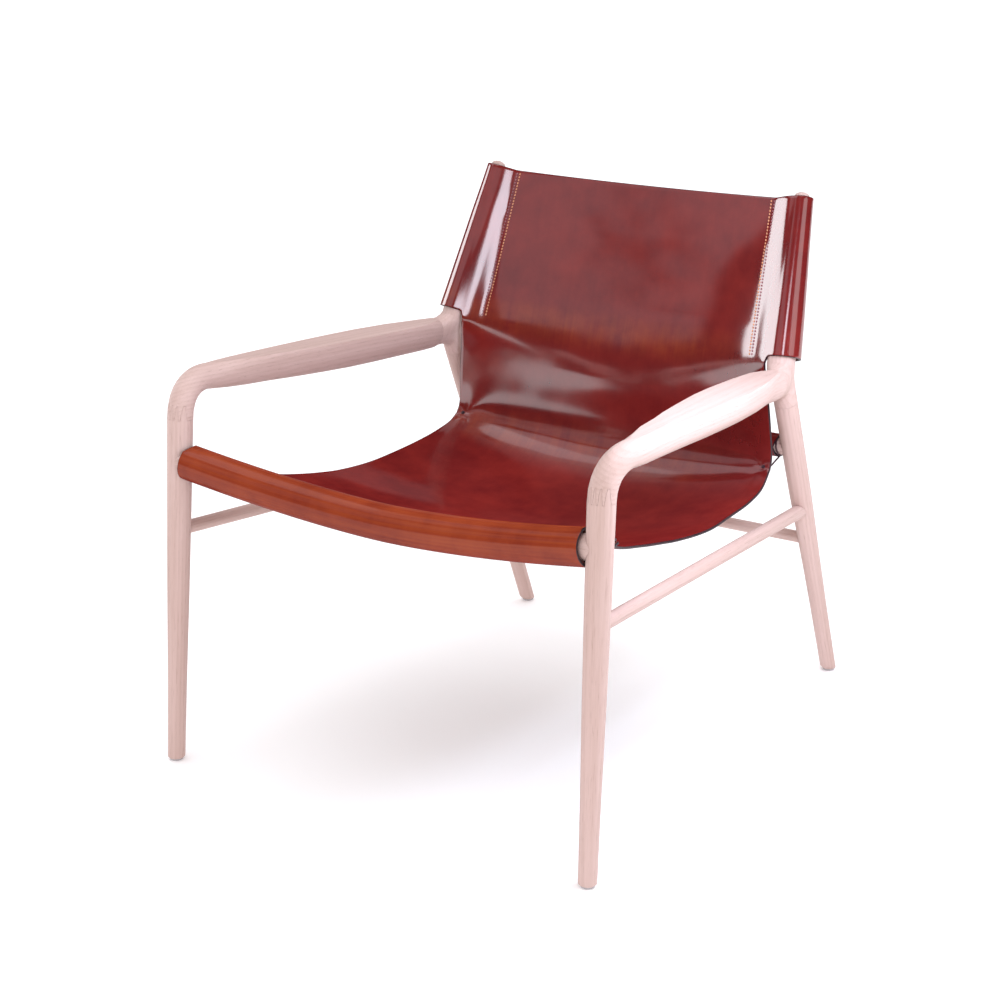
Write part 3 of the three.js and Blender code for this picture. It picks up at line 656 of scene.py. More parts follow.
def thicken(piece: Object, **solidify: object) -> None:
    """Gives a sheet its thickness, its flesh side and a rounded, burnished edge.

    Args:
        piece: The sheet, whose faces look out of its grain side.
        solidify: More properties of the Solidify modifier.
    """
    add_modifier(piece, "SOLIDIFY", thickness=LEATHER, offset=0.0, material_offset=2,
                 material_offset_rim=1, **solidify)
    add_modifier(piece, "BEVEL", width=EDGE_ROUND, segments=2, limit_method="ANGLE",
                 angle_limit=math.radians(60), material=1)


def add_stitch(bm: BMesh, place: Matrix, halves: tuple[float, float, float]) -> None:
    """Adds a stitch of the given half sizes, turned and placed."""
    bmesh.ops.create_uvsphere(bm, u_segments=8, v_segments=6, radius=1.0,
                              matrix=place @ Matrix.Diagonal((*halves, 1)))


def between(start: Sequence[float], end: Sequence[float], share: float) -> tuple[float, ...]:
    """A point at a share of the way from start to end."""
    return tuple(a + (b - a) * share for a, b in zip(start, end))


def frame_of(across: Vector, out: Vector, along: Vector) -> Matrix:
    """The turn that takes X, Y and Z to three directions."""
    return Matrix((across, out, along)).transposed().to_4x4()


class Course:
    """A smooth line through points, as evenly bent as their spacing allows."""

    def __init__(self, points: Sequence[Vector]) -> None:
        """Keeps the points, with one more mirrored past each end.

        Args:
            points: The points that the line goes through.
        """
        first = points[0] * 2 - points[1]
        last = points[-1] * 2 - points[-2]
        self.points = [first, *points, last]

    def at(self, place: float) -> Vector:
        """A point of the line.

        Args:
            place: How many points of the line come before it, with a fraction.

        Returns:
            The point.
        """
        start = min(max(int(place), 0), len(self.points) - 4)
        share = place - start
        p = self.points[start : start + 4]
        knots = [0.0]
        for before, after in zip(p, p[1:]):
            knots.append(knots[-1] + max((after - before).length ** 0.5, 1e-6))
        t = knots[1] + (knots[2] - knots[1]) * share
        level = list(p)
        for depth in (1, 2, 3):
            level = [
                level[i].lerp(level[i + 1], self._share(t, knots, i, depth))
                for i in range(len(level) - 1)
            ]
        return level[0]

    @staticmethod
    def _share(t: float, knots: Sequence[float], i: int, depth: int) -> float:
        """The share of the way from one knot to the next at a depth of the scheme."""
        low, high = (knots[1], knots[2]) if depth == 3 else (knots[i], knots[i + depth])
        return (t - low) / (high - low)


# The frame's places


@dataclass(frozen=True)
class Place:
    """A place on each side: half the width there, its depth and its height."""

    half: float
    back: float
    up: float

    def at(self, side: Side) -> Vector:
        """The place on one side."""
        return Vector((side.value * self.half, self.back, self.up))


FRONT_FOOT = Place(0.3356, -0.4020, 0.0)
ELBOW = Place(0.3284, -0.3699, 0.4847)
REAR_FOOT = Place(0.2760, 0.4030, 0.0)
KNUCKLE = Place(0.2815, 0.1880, 0.5100)
POST_TIP = Place(0.2540, 0.2855, 0.7505)
ARM_FRONT = Place(0.3310, -0.3070, 0.5483)
ARM_REAR = Place(0.2870, 0.1580, 0.5265)
FRONT_RAIL = Place(0.3292, -0.3735, 0.4300)
REAR_RAIL = Place(0.2803, 0.2360, 0.3962)
SIDE_STRETCHER_FRONT = Place(0.3307, -0.3800, 0.3320)
SIDE_STRETCHER_REAR = Place(0.2791, 0.2799, 0.2920)
LACE_HOLE = Place(0.2580, 0.1928, 0.3726)


@dataclass
class OakFrame:
    """The turned and carved frame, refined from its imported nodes."""

    nodes: Mapping[str, Object]
    finish: OakFinish = field(default_factory=OakFinish)
    merge: float = 0.00002
    smooth_below: float = math.radians(34)
    flat_within: float = 0.99995
    arris_round: float = 0.0011
    knuckle_swell: float = 0.0062
    swell_forward: float = 0.7
    swell_foot: float = -0.008
    swell_rise: float = 0.020
    swell_top: float = 0.086
    swell_fall: float = 0.030
    side_seed: float = 1.7
    rail_seed: float = 7.3
    dowel_seed: float = 3.1
    knots: Mapping[str, tuple[Knot, ...]] = field(
        default_factory=lambda: {"arm_right": (Knot(Vector((0.340, -0.388, 0.507)), 0.0028),)}
    )

    def build(self) -> None:
        """Makes every oak piece and dresses the small nodes that stay."""
        right = Vector((1, 0, 0))
        for side in Side:
            parts = {
                "front_leg": (FRONT_FOOT, ELBOW),
                "rear_leg": (REAR_FOOT, KNUCKLE),
                "back_post": (KNUCKLE, POST_TIP),
                "arm": (ARM_FRONT, ARM_REAR),
                "side_stretcher": (SIDE_STRETCHER_FRONT, SIDE_STRETCHER_REAR),
            }
            for seed, (part, (start, end)) in enumerate(parts.items()):
                along = end.at(side) - start.at(side)
                self._piece(f"{part}_{side.word}", side, along, seed + self.side_seed * side.value)
        for seed, part in enumerate(("front_rail", "rear_rail", "rear_stretcher")):
            self._piece(part, Side.RIGHT, right, seed + self.rail_seed)
        self._dress()

    def _piece(self, node: str, side: Side, along: Vector, seed: float) -> None:
        """Makes one piece from its node.

        Args:
            node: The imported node.
            side: The side it is on.
            along: The direction of the grain.
            seed: What sets its board apart.
        """
        bm = bmesh.new()
        bm.from_mesh(self.nodes[node].data)
        bmesh.ops.remove_doubles(bm, verts=bm.verts, dist=self.merge)
        if node.startswith("arm_"):
            self._soften_arris(bm, side)
        if node.startswith("back_post_"):
            self._swell_knuckle(bm, side)
        smooth_all(bm)
        for edge in bm.edges:
            edge.smooth = len(edge.link_faces) == 2 and edge.calc_face_angle(0) < self.smooth_below
        material = self.finish.material("oak_" + node, along, seed, self.knots.get(node, ()))
        piece = new_piece("oak_" + node, bm, [material], [node])
        add_modifier(piece, "WEIGHTED_NORMAL", keep_sharp=True, weight=80)

    def _soften_arris(self, bm: BMesh, side: Side) -> None:
        """Joins the arm's flat top into one face and rounds its edge a little.

        Args:
            bm: The arm's mesh.
            side: The arm's side.
        """
        lengthwise = (ARM_REAR.at(side) - ARM_FRONT.at(side)).normalized()
        outward = Vector((side.value, 0, 0))
        level = (outward - lengthwise * outward.dot(lengthwise)).normalized()
        flat = level.cross(lengthwise) * side.value
        bm.normal_update()
        top = [f for f in bm.faces if f.normal.dot(flat) > self.flat_within]
        inner = [e for e in dict.fromkeys(e for f in top for e in f.edges)
                 if len(e.link_faces) == 2
                 and all(f.normal.dot(flat) > self.flat_within for f in e.link_faces)]
        bmesh.ops.dissolve_edges(bm, edges=inner, use_verts=False)
        top = max(bm.faces, key=lambda f: f.calc_area())
        bmesh.ops.bevel(bm, geom=list(top.edges), offset=self.arris_round, segments=3,
                        affect="EDGES", profile=0.5, material=-1, clamp_overlap=True)

    def _swell_knuckle(self, bm: BMesh, side: Side) -> None:
        """Fills the knuckle out towards the middle of the chair, just below the hide.

        Args:
            bm: The back post's mesh.
            side: The post's side.
        """
        knee, tip = KNUCKLE.at(side), POST_TIP.at(side)
        axis = (tip - knee).normalized()
        inward = Vector((-side.value, -self.swell_forward, 0)).normalized()
        for vert in bm.verts:
            off = vert.co - knee
            height = off.dot(axis)
            rise = min(max((height - self.swell_foot) / self.swell_rise, 0), 1)
            fall = min(max((self.swell_top - height) / self.swell_fall, 0), 1)
            out = (off - axis * height).normalized().dot(inward)
            swell = self.knuckle_swell * rise * rise * (3 - 2 * rise) * fall
            vert.co += inward * (swell * max(out, 0) ** 2)

    def _dress(self) -> None:
        """Gives the dowels and the glides their finishes."""
        back = Vector((0, 1, 0))
        for name, node in self.nodes.items():
            if "dowel" in name:
                finish = self.finish.material("dowel_" + name, back, self.dowel_seed)
            elif "glide" in name:
                finish = GlideFinish().material(name + "_nylon")
            else:
                continue
            node.data.materials.clear()
            node.data.materials.append(finish)


# The hide


@dataclass(frozen=True)
class HideRow:
    """A row across the hide: its edge, its middle, and how full it hangs between them."""

    edge: Place
    middle: tuple[float, float]
    fullness: float


def seat_rows() -> tuple[HideRow, ...]:
    """The rows of the seat and the small of the back.

    Returns:
        The rows, from the front to the back.
    """
    table = (
        # half width, depth and height of the edge, depth and height of the middle, fullness
        (0.2923, -0.2965, 0.4068, -0.2682, 0.3737, 2.0),
        (0.2809, -0.2416, 0.3827, -0.2370, 0.3569, 2.1),
        (0.2778, -0.1878, 0.3689, -0.1974, 0.3419, 2.2),
        (0.2781, -0.1385, 0.3586, -0.1470, 0.3246, 2.2),
        (0.2800, -0.0915, 0.3504, -0.0932, 0.3122, 2.2),
        (0.2831, -0.0145, 0.3431, -0.0167, 0.3031, 2.2),
        (0.2812, 0.0532, 0.3449, 0.0461, 0.3031, 2.2),
        (0.2800, 0.1062, 0.3485, 0.1155, 0.3109, 2.2),
        (0.2765, 0.1469, 0.3550, 0.1552, 0.3221, 2.3),
        (0.2710, 0.1758, 0.3651, 0.1837, 0.3376, 2.4),
        (0.2689, 0.1900, 0.3758, 0.2036, 0.3621, 2.7),
        (0.2675, 0.1951, 0.3956, 0.2135, 0.3982, 3.0),
        (0.2650, 0.1930, 0.4313, 0.2166, 0.4450, 2.9),
        (0.2604, 0.1900, 0.4799, 0.2215, 0.4773, 2.6),
    )
    return tuple(
        HideRow(Place(half, back, up), (middle_back, middle_up), fullness)
        for half, back, up, middle_back, middle_up, fullness in table
    )


@dataclass
class Sleeve:
    """The wing of hide round one back post, seen square to the post."""

    side: Side
    bottom_up: float = 0.5340
    top_up: float = 0.7435
    seam_reach: tuple[float, float] = (0.0480, 0.0375)
    drawback: float = 0.0070
    foot_radius: float = 0.0165
    tip_radius: float = 0.0108
    bend_length: float = 0.026
    dome: float = 0.006
    slack: float = 0.0009
    ease: tuple[float, float] = (0.0026, 0.0012)
    ease_back: float = 0.5
    seam_depth: float = 0.0022
    crown: float = 0.0018
    twist: float = 0.0006
    flap: float = 0.0100
    arc_steps: int = 22

    def __post_init__(self) -> None:
        """Works out the post's line and the length of its straight part."""
        self.knee = KNUCKLE.at(self.side)
        self.tip = POST_TIP.at(self.side)
        self.axis = (self.tip - self.knee).normalized()
        self.above = self.knee + self.axis * self.bend_length
        self.neck = self.tip - self.axis * self.dome

    def centre(self, share: float) -> Vector:
        """The post's middle at a share of the sleeve's height."""
        up = self.bottom_up + (self.top_up - self.bottom_up) * share
        return self.knee.lerp(self.tip, (up - self.knee.z) / (self.tip.z - self.knee.z))

    def reach(self, share: float) -> float:
        """How far the seam is from the post's middle."""
        low, high = self.seam_reach
        return low + (high - low) * share

    def radius(self, share: float) -> float:
        """The radius of the middle of the leather round the post.

        Args:
            share: The share of the sleeve's height.

        Returns:
            The radius.
        """
        place = (self.centre(share).z - self.above.z) / (self.neck.z - self.above.z)
        wood = self.foot_radius + (self.tip_radius - self.foot_radius) * place
        return wood + self.slack + self.loose(share) + LEATHER / 2

    def loose(self, share: float) -> float:
        """How much wider the loop is than the post and its slack."""
        low, high = self.ease
        return low + (high - low) * share

    def directions(self, share: float) -> tuple[Vector, Vector]:
        """The directions from the post towards the seam and out of the sleeve's front.

        Args:
            share: The share of the sleeve's height.

        Returns:
            The two directions, square to the post.
        """
        inward = Vector((-self.side.value, 0, 0))
        inward = (inward - self.axis * inward.dot(self.axis)).normalized()
        front = inward.cross(self.axis) * -self.side.value
        turn = math.atan2(self.drawback * (1 - share), self.reach(share))
        spin = Matrix.Rotation(-self.side.value * turn, 3, self.axis)
        return spin @ inward, spin @ front

    def place(self, share: float, inward: float, front: float) -> Vector:
        """A point beside the post.

        Args:
            share: The share of the sleeve's height.
            inward: How far inwards of the post.
            front: How far forwards of it.

        Returns:
            The point.
        """
        towards_seam, forwards = self.directions(share)
        return self.centre(share) + towards_seam * inward + forwards * front

    def front_touch(self, share: float) -> tuple[float, float, float]:
        """Where the front layer leaves the post.

        Args:
            share: The share of the sleeve's height.

        Returns:
            Its angle round the post, and its place inwards and forwards of the post.
        """
        radius, reach = self.radius(share), self.reach(share)
        back = self.loose(share) * self.ease_back
        depth = self.seam_depth + back
        angle = math.atan2(depth, reach) + math.acos(radius / math.hypot(reach, depth))
        return angle, radius * math.cos(angle), radius * math.sin(angle) - back

    def front_layer(self, share: float, inward: float) -> Vector:
        """A point of the front layer, between the post and the seam.

        Args:
            share: The share of the sleeve's height.
            inward: How far inwards of the post.

        Returns:
            The point.
        """
        _, x, y = self.front_touch(share)
        part = (inward - x) / (self.reach(share) - x)
        crown = self.crown * 4 * part * (1 - part)
        if 0 < part < 1:
            crown -= self.twist * (1 - 2 * share) * math.sin(2 * math.pi * part)
        return self.place(share, inward, y + (self.seam_depth - y) * part + crown)

    def wrap(self, share: float, start: float, backs: Sequence[Vector]) -> list[Vector]:
        """The way of the wing at one height.

        Args:
            share: The share of the sleeve's height.
            start: How far inwards of the post the panel ends and the wing starts.
            backs: Points on the panel's back that the flap follows, from the seam on.

        Returns:
            Points from the panel's edge round the post and under the panel.
        """
        angle, touch_x, _ = self.front_touch(share)
        front = [self.front_layer(share, start + (touch_x - start) * k / 4) for k in (1, 2, 3)]
        towards_seam, forwards = self.directions(share)
        middle, radius = self.centre(share), self.radius(share)
        seam = backs[0] - middle
        back = self.loose(share) * self.ease_back
        x, y = seam.dot(towards_seam), seam.dot(forwards) + back
        end = 2 * math.pi + math.atan2(y, x) - math.acos(radius / math.hypot(x, y))
        turns = (angle + (end - angle) * k / self.arc_steps for k in range(self.arc_steps + 1))
        arc = [
            self.place(share, radius * math.cos(turn), radius * math.sin(turn) - back)
            for turn in turns
        ]
        under = [arc[-1].lerp(backs[0], k / 5) for k in (1, 2, 3, 4)]
        return [*front, *arc, *under, *backs]


@dataclass
class Hide:
    """The hide: one cut sheet with its roll, its wings, its seams and its lace holes."""

    columns: int = 112
    seat_lines: int = 118
    sleeve_lines: int = 46
    roll_radius: float = 0.0226
    roll_top_reach: float = 0.0535
    roll_under_reach: float = 0.0580
    roll_slope: float = math.radians(8)
    roll_end: Mapping[Side, float] = field(
        default_factory=lambda: {Side.LEFT: 0.3160, Side.RIGHT: 0.3134}
    )
    rail_dip: float = 0.036
    rail_bow: float = 0.020
    rail_power: float = 1.7
    panel_reach: Mapping[Side, float] = field(
        default_factory=lambda: {Side.LEFT: 0.0235, Side.RIGHT: 0.0205}
    )
    notch_share: float = -0.040
    notch_round: float = 0.0085
    hole_radius: float = 0.0022
    pucker: Mapping[Side, float] = field(
        default_factory=lambda: {Side.LEFT: 0.0010, Side.RIGHT: 0.0005}
    )
    pucker_folds: float = 4.5
    pucker_turn: float = 0.6
    pucker_start: float = 0.012
    pucker_reach: float = 0.05
    # slow waves: how many in a metre, how high, and which part of the noise
    waves: tuple[tuple[float, float, tuple[float, float, float]], ...] = (
        (9.0, 0.0005, (0, 0, 0)),
        (23.0, 0.0002, (5, 2, 1)),
    )
    leg_radius: float = 0.0180
    flat_half: float = 0.25
    # the whole panel first, then the part beside the notches
    relax_rounds: tuple[int, int] = (12, 90)
    relaxed_widths: tuple[float, float] = (0.97, 0.90)
    relaxed_lines: float = 1.4
    settle_start: float = 0.03
    settle_ease: float = 0.05
    hole_zone: float = 0.011

    def __post_init__(self) -> None:
        """Sets out the control rows."""
        self.sleeves = {side: Sleeve(side) for side in Side}
        self.rows = seat_rows()
        self.sleeve_shares = (self.notch_share, 0.10, 0.35, 0.6, 0.8, 1.0)
        self.seat_count = len(self.rows) + 1
        self.courses: dict[tuple[Side, float], Course] = {}

    # The front rail and its roll

    def rail_point(self, half: float) -> Vector:
        """The middle of the front rail.

        Args:
            half: The half width there, less than nothing on the left.

        Returns:
            The point.
        """
        drop = 1 - abs(half / FRONT_RAIL.half) ** self.rail_power
        back = FRONT_RAIL.back + self.rail_bow * drop
        return Vector((half, back, FRONT_RAIL.up - self.rail_dip * drop))

    def roll_frame(self, half: float) -> tuple[Vector, Vector, Vector]:
        """The rail's middle and the directions square to it.

        Args:
            half: The half width there, less than nothing on the left.

        Returns:
            The middle, and the directions backwards and upwards.
        """
        near = 0.02
        forward = (self.rail_point(half + near) - self.rail_point(half - near)).normalized()
        back = Vector((0, math.cos(self.roll_slope), -math.sin(self.roll_slope)))
        back = (back - forward * back.dot(forward)).normalized()
        return self.rail_point(half), back, forward.cross(back)

    def roll_way(self) -> list[tuple[float, float]]:
        """The roll's outline, from the seat on.

        Returns:
            Its points as steps backwards and upwards of the rail's middle.
        """
        top = (self.roll_top_reach, LEATHER / 2)
        under = (self.roll_under_reach, -LEATHER / 2 - LAYER_GAP)
        radius = self.roll_radius
        start = math.atan2(top[1], top[0]) + math.acos(radius / math.hypot(*top))
        end = 2 * math.pi + math.atan2(under[1], under[0]) - math.acos(radius / math.hypot(*under))
        touch = (radius * math.cos(start), radius * math.sin(start))
        leave = (radius * math.cos(end), radius * math.sin(end))
        flat = [between(top, touch, k / 8) for k in range(1, 8)]
        turns = [start + (end - start) * k / 40 for k in range(41)]
        arc = [(radius * math.cos(t), radius * math.sin(t)) for t in turns]
        return [*flat, *arc, *(between(leave, under, k / 6) for k in range(1, 7))]

    def roll_place(self, across: float, step: tuple[float, float]) -> Vector:
        """A point of the roll, kept clear of the leg.

        Args:
            across: From -1 at the left end to 1 at the right end.
            step: How far backwards and upwards of the rail's middle.

        Returns:
            The point.
        """
        side = Side.RIGHT if across > 0 else Side.LEFT
        end = self.roll_end[side]
        middle, back, up = self.roll_frame(side.value * end)
        tip = middle + back * step[0] + up * step[1]
        leg = FRONT_FOOT.at(side).lerp(ELBOW.at(side), tip.z / ELBOW.up)
        off = abs(tip.y - leg.y)
        if off < self.leg_radius:
            clear = abs(leg.x) - math.sqrt(self.leg_radius**2 - off**2) - LEATHER * 0.1
            end = min(end, clear)
        middle, back, up = self.roll_frame(across * end)
        return middle + back * step[0] + up * step[1]

    # The panel

    def share_at(self, line: float) -> float:
        """The share of the sleeve's height at a line.

        Args:
            line: The line, counting the control rows, past the seat's last.

        Returns:
            The share.
        """
        place = min(max(line - self.seat_count, 0), len(self.sleeve_shares) - 1)
        low = min(int(place), len(self.sleeve_shares) - 2)
        a, b = self.sleeve_shares[low], self.sleeve_shares[low + 1]
        return a + (b - a) * (place - low)

    @staticmethod
    def sag(share: float) -> tuple[float, float]:
        """How far the back sags, in shares of its width, and how full it is."""
        return 0.0755 - 0.0235 * share - 0.0245 * share**2, 2.4 - 0.3 * share

    def sleeve_point(self, side: Side, share: float, part: float) -> Vector:
        """A point of the panel between the sleeves.

        Args:
            side: The side it is on.
            share: The share of the sleeve's height.
            part: From 0 in the middle to 1 at the panel's edge.

        Returns:
            The point.
        """
        sleeve = self.sleeves[side]
        edge = sleeve.front_layer(share, self.panel_reach[side])
        seam = sleeve.front_layer(share, sleeve.reach(share))
        x = part * edge.x
        if abs(x) >= abs(seam.x):
            gone = (x - seam.x) / (edge.x - seam.x)
            reach = sleeve.reach(share)
            return sleeve.front_layer(share, reach + (self.panel_reach[side] - reach) * gone)
        depth, fullness = self.sag(share)
        _, forwards = sleeve.directions(share)
        middle = seam - forwards * (2 * depth * abs(seam.x))
        middle.x = 0
        point = middle.lerp(seam, abs(x / seam.x) ** fullness)
        point.x = x
        return point

    def control(self, side: Side, part: float) -> Course:
        """A line of the hide from front to back.

        Args:
            side: The side it is on.
            part: From 0 in the middle to 1 at the panel's edge.

        Returns:
            The line.
        """
        key = (side, round(part, 6))
        if key not in self.courses:
            across = side.value * part
            top = (self.roll_top_reach, LEATHER / 2)
            points = [self.roll_place(across, self.roll_way()[3]), self.roll_place(across, top)]
            for row in self.rows:
                edge = row.edge.at(side)
                middle = Vector((0, *row.middle))
                point = middle.lerp(edge, part**row.fullness)
                point.x = part * edge.x
                points.append(point)
            points += [self.sleeve_point(side, share, part) for share in self.sleeve_shares[:3]]
            self.courses[key] = Course(points)
        return self.courses[key]

    def surface(self, across: float, line: float) -> Vector:
        """A point in the middle of the panel's thickness.

        Args:
            across: From -1 at the left edge to 1 at the right edge.
            line: 0 at the roll, counting the control rows.

        Returns:
            The point.
        """
        side = Side.RIGHT if across >= 0 else Side.LEFT
        if line >= self.seat_count:
            return self.sleeve_point(side, self.share_at(line), abs(across))
        return self.control(side, abs(across)).at(line + 1)

    def relief(self, point: Vector) -> float:
        """How far the leather stands proud of its plain form: puckers and slow waves.

        Args:
            point: A point of the plain form.

        Returns:
            The height there.
        """
        wave = sum(noise.noise(point * scale + Vector(shift)) * height
                   for scale, height, shift in self.waves)
        for side in Side:
            hole = LACE_HOLE.at(side)
            apart = point - hole
            turn = math.atan2(apart.z, -side.value * apart.x)
            fan = math.cos(self.pucker_folds * turn + self.pucker_turn)
            fan *= math.exp(-((apart.length / self.pucker_reach) ** 2))
            wave += self.pucker[side] * fan * min(apart.length / self.pucker_start, 1)
        return wave

    # Building

    def build(self, leather: Material, edge: Material, flesh: Material) -> Object:
        """Makes the hide as one sheet.

        Args:
            leather: The grain side.
            edge: The cut edges.
            flesh: The flesh side.

        Returns:
            The piece.
        """
        bm = bmesh.new()
        lines = self.seat_lines + self.sleeve_lines
        bmesh.ops.create_grid(bm, x_segments=self.columns, y_segments=lines, size=1.0)
        self.across = bm.verts.layers.float.new("across")
        self.line = bm.verts.layers.float.new("line")
        self.flat_x = bm.verts.layers.float.new("flat_x")
        self.flat_y = bm.verts.layers.float.new("flat_y")
        self._set_out(bm, lines)
        self._relax(bm)
        self._wrap_posts(bm)
        self._wrap_rail(bm)
        order_faces(bm)
        self._settle(bm)
        self._cut_holes(bm)
        self._lay_flat(bm)
        bmesh.ops.recalc_face_normals(bm, faces=bm.faces)
        self._face_forward(bm)
        self.skin = BVHTree.FromBMesh(bm)
        smooth_all(bm)
        piece = new_piece("hide", bm, [leather, edge, flesh], ["leather_sling"])
        thicken(piece, use_even_offset=True, use_quality_normals=True)
        return piece

    def _set_out(self, bm: BMesh, lines: int) -> None:
        """Moves the flat grid's corners onto the panel.

        Args:
            bm: The flat grid.
            lines: How many rows of faces it has.
        """
        seat_share = self.seat_lines / lines
        last = self.seat_count + len(self.sleeve_shares) - 1
        lengths = self._middle_lengths(last)
        for vert in bm.verts:
            across, up = vert.co.x, (vert.co.y + 1) / 2
            if up <= seat_share:
                line = up / seat_share * self.seat_count
            else:
                part = (up - seat_share) / (1 - seat_share)
                line = self.seat_count + part * (last - self.seat_count)
            vert[self.across], vert[self.line] = across, line
            vert.co = self.surface(across, line)
            vert[self.flat_x] = vert.co.x
            vert[self.flat_y] = self._length_at(lengths, line)

    def _relax(self, bm: BMesh) -> None:
        """Lets the panel settle between its control rows, most of all beside the notches.

        Args:
            bm: The panel.
        """
        last = self.seat_count + len(self.sleeve_shares) - 2.5  # the top edge stays
        panel, notch = (
            [v for v in bm.verts if abs(v[self.across]) < width and 0.5 < v[self.line] < last]
            for width in self.relaxed_widths
        )
        notch = [v for v in notch if abs(v[self.line] - self.seat_count) < self.relaxed_lines]
        for verts, rounds in zip((panel, notch), self.relax_rounds):
            for _ in range(rounds):
                bmesh.ops.smooth_vert(bm, verts=verts, factor=0.5, use_axis_y=True,
                                      use_axis_z=True)

    def _middle_lengths(self, last: int) -> list[float]:
        """The length of the hide's middle up to each control row.

        Args:
            last: The last row.

        Returns:
            The lengths.
        """
        lengths, steps = [0.0], 8
        for line in range(last):
            points = [self.surface(0.0, line + k / steps) for k in range(steps + 1)]
            lengths.append(lengths[-1] + sum((b - a).length for a, b in zip(points, points[1:])))
        return lengths

    @staticmethod
    def _length_at(lengths: Sequence[float], line: float) -> float:
        """The length of the hide's middle up to a place between control rows."""
        low = min(int(line), len(lengths) - 2)
        return lengths[low] + (lengths[low + 1] - lengths[low]) * (line - low)

    @staticmethod
    def _rim(bm: BMesh, wanted: Callable[[BMVert], bool]) -> list[BMEdge]:
        """The sheet's open edges whose two ends are wanted."""
        return [e for e in bm.edges if e.is_boundary and all(wanted(v) for v in e.verts)]

    def _wrap_posts(self, bm: BMesh) -> None:
        """Draws the panel's edges out round the posts and back behind the panel.

        Args:
            bm: The panel.
        """
        for side in Side:
            start = self.seat_count - 1e-4

            def wanted(vert: BMVert, side: Side = side) -> bool:
                return vert[self.line] >= start and vert[self.across] * side.value > 1 - 1e-5

            edges = self._rim(bm, wanted)
            ways = {}
            for vert in dict.fromkeys(v for e in edges for v in e.verts):
                share = self.share_at(vert[self.line])
                ways[round(vert[self.line], 4)] = (share, self._way(side, share))
            count = len(next(iter(ways.values()))[1])
            for step in range(count):
                verts, edges = draw_out(bm, edges, self.line)
                for vert in verts:
                    share, way = ways[round(vert[self.line], 4)]
                    self._place_on_wing(vert, side, share, way, step)

    def _way(self, side: Side, share: float) -> list[Vector]:
        """The way of one wing.

        Args:
            side: The wing's side.
            share: The share of the sleeve's height.

        Returns:
            Points from the panel's edge round the post and under the panel.
        """
        sleeve = self.sleeves[side]
        seam_part = (
            sleeve.front_layer(share, sleeve.reach(share)).x
            / sleeve.front_layer(share, self.panel_reach[side]).x
        )
        backs, small = [], 0.01
        for k in range(4):
            part = seam_part - sleeve.flap / self.flat_half * k / 3
            point = self.sleeve_point(side, share, part)
            beside = self.sleeve_point(side, share, part - small)
            over = (point - beside) * side.value
            normal = over.cross(sleeve.axis).normalized()
            backs.append(point - normal * (LEATHER + LAYER_GAP))
        return sleeve.wrap(share, self.panel_reach[side], backs)

    def _place_on_wing(self, vert: BMVert, side: Side, share: float,
                       way: Sequence[Vector], step: int) -> None:
        """Puts a corner of the wing in place, with the notch's inner corner rounded.

        Args:
            vert: The corner.
            side: The wing's side.
            share: The share of the sleeve's height.
            way: The wing's way there.
            step: Which point of the way it is.
        """
        gone = sum((b - a).length for a, b in zip(way[:step], way[1 : step + 1]))
        gone += (way[0] - self.sleeve_point(side, share, 1.0)).length
        height = self.sleeves[side].top_up - self.sleeves[side].bottom_up
        left = max(1 - gone / self.notch_round, 0)
        lowest = -(1 - math.sqrt(1 - left**2)) * self.notch_round / height
        raised = lowest + (share - self.notch_share) / (1 - self.notch_share) * (1 - lowest)
        vert.co = self._way(side, raised)[step] if raised != share else way[step]
        vert[self.flat_x] = side.value * (self.flat_half + gone)

    def _wrap_rail(self, bm: BMesh) -> None:
        """Draws the panel's front out round the rail and back under the seat.

        Args:
            bm: The panel.
        """
        edges = self._rim(bm, lambda vert: vert[self.line] < 1e-5)
        gone, before = 0.0, (self.roll_top_reach, LEATHER / 2)
        for step in self.roll_way():
            gone += math.dist(before, step)
            before = step
            verts, edges = draw_out(bm, edges, self.across)
            for vert in verts:
                vert.co = self.roll_place(vert[self.across], step)
                vert[self.flat_x] = vert.co.x
                vert[self.flat_y] = -gone

    def _settle(self, bm: BMesh) -> None:
        """Adds the slow waves and puckers, square to the sheet.

        Args:
            bm: The sheet.
        """
        bm.normal_update()
        start = self.settle_start
        moves = {v: v.normal * self.relief(v.co) for v in bm.verts if v[self.flat_y] > start}
        for vert, move in moves.items():
            ease = min((vert[self.flat_y] - start) / self.settle_ease, 1)
            vert.co += move * ease

    def _cut_holes(self, bm: BMesh) -> None:
        """Cuts a round hole for each lace.

        Args:
            bm: The sheet.
        """
        for side in Side:
            hole = LACE_HOLE.at(side)
            for _ in range(2):
                near = [e for e in bm.edges
                        if all((v.co - hole).length < self.hole_zone for v in e.verts)]
                bmesh.ops.subdivide_edges(bm, edges=near, cuts=1, use_grid_fill=True)
            gone = [v for v in bm.verts if (v.co - hole).length < self.hole_radius]
            bmesh.ops.delete(bm, geom=gone, context="VERTS")
            for vert in bm.verts:
                apart = vert.co - hole
                if vert.is_boundary and apart.length < self.hole_radius * 2.2:
                    vert.co = hole + apart.normalized() * self.hole_radius

    def _lay_flat(self, bm: BMesh) -> None:
        """Gives every corner its place on the flat hide.

        Args:
            bm: The sheet.
        """
        flat = bm.loops.layers.uv.new("hide")
        for face in bm.faces:
            for loop in face.loops:
                loop[flat].uv = (loop.vert[self.flat_x], loop.vert[self.flat_y])

    def _face_forward(self, bm: BMesh) -> None:
        """Turns the sheet so that its faces look out of the grain side.

        Args:
            bm: The sheet.
        """
        seat = Vector((0, 0, 0.3))
        middle = min(bm.faces, key=lambda face: (face.calc_center_median() - seat).length)
        if middle.normal.z < 0:
            bmesh.ops.reverse_faces(bm, faces=bm.faces)


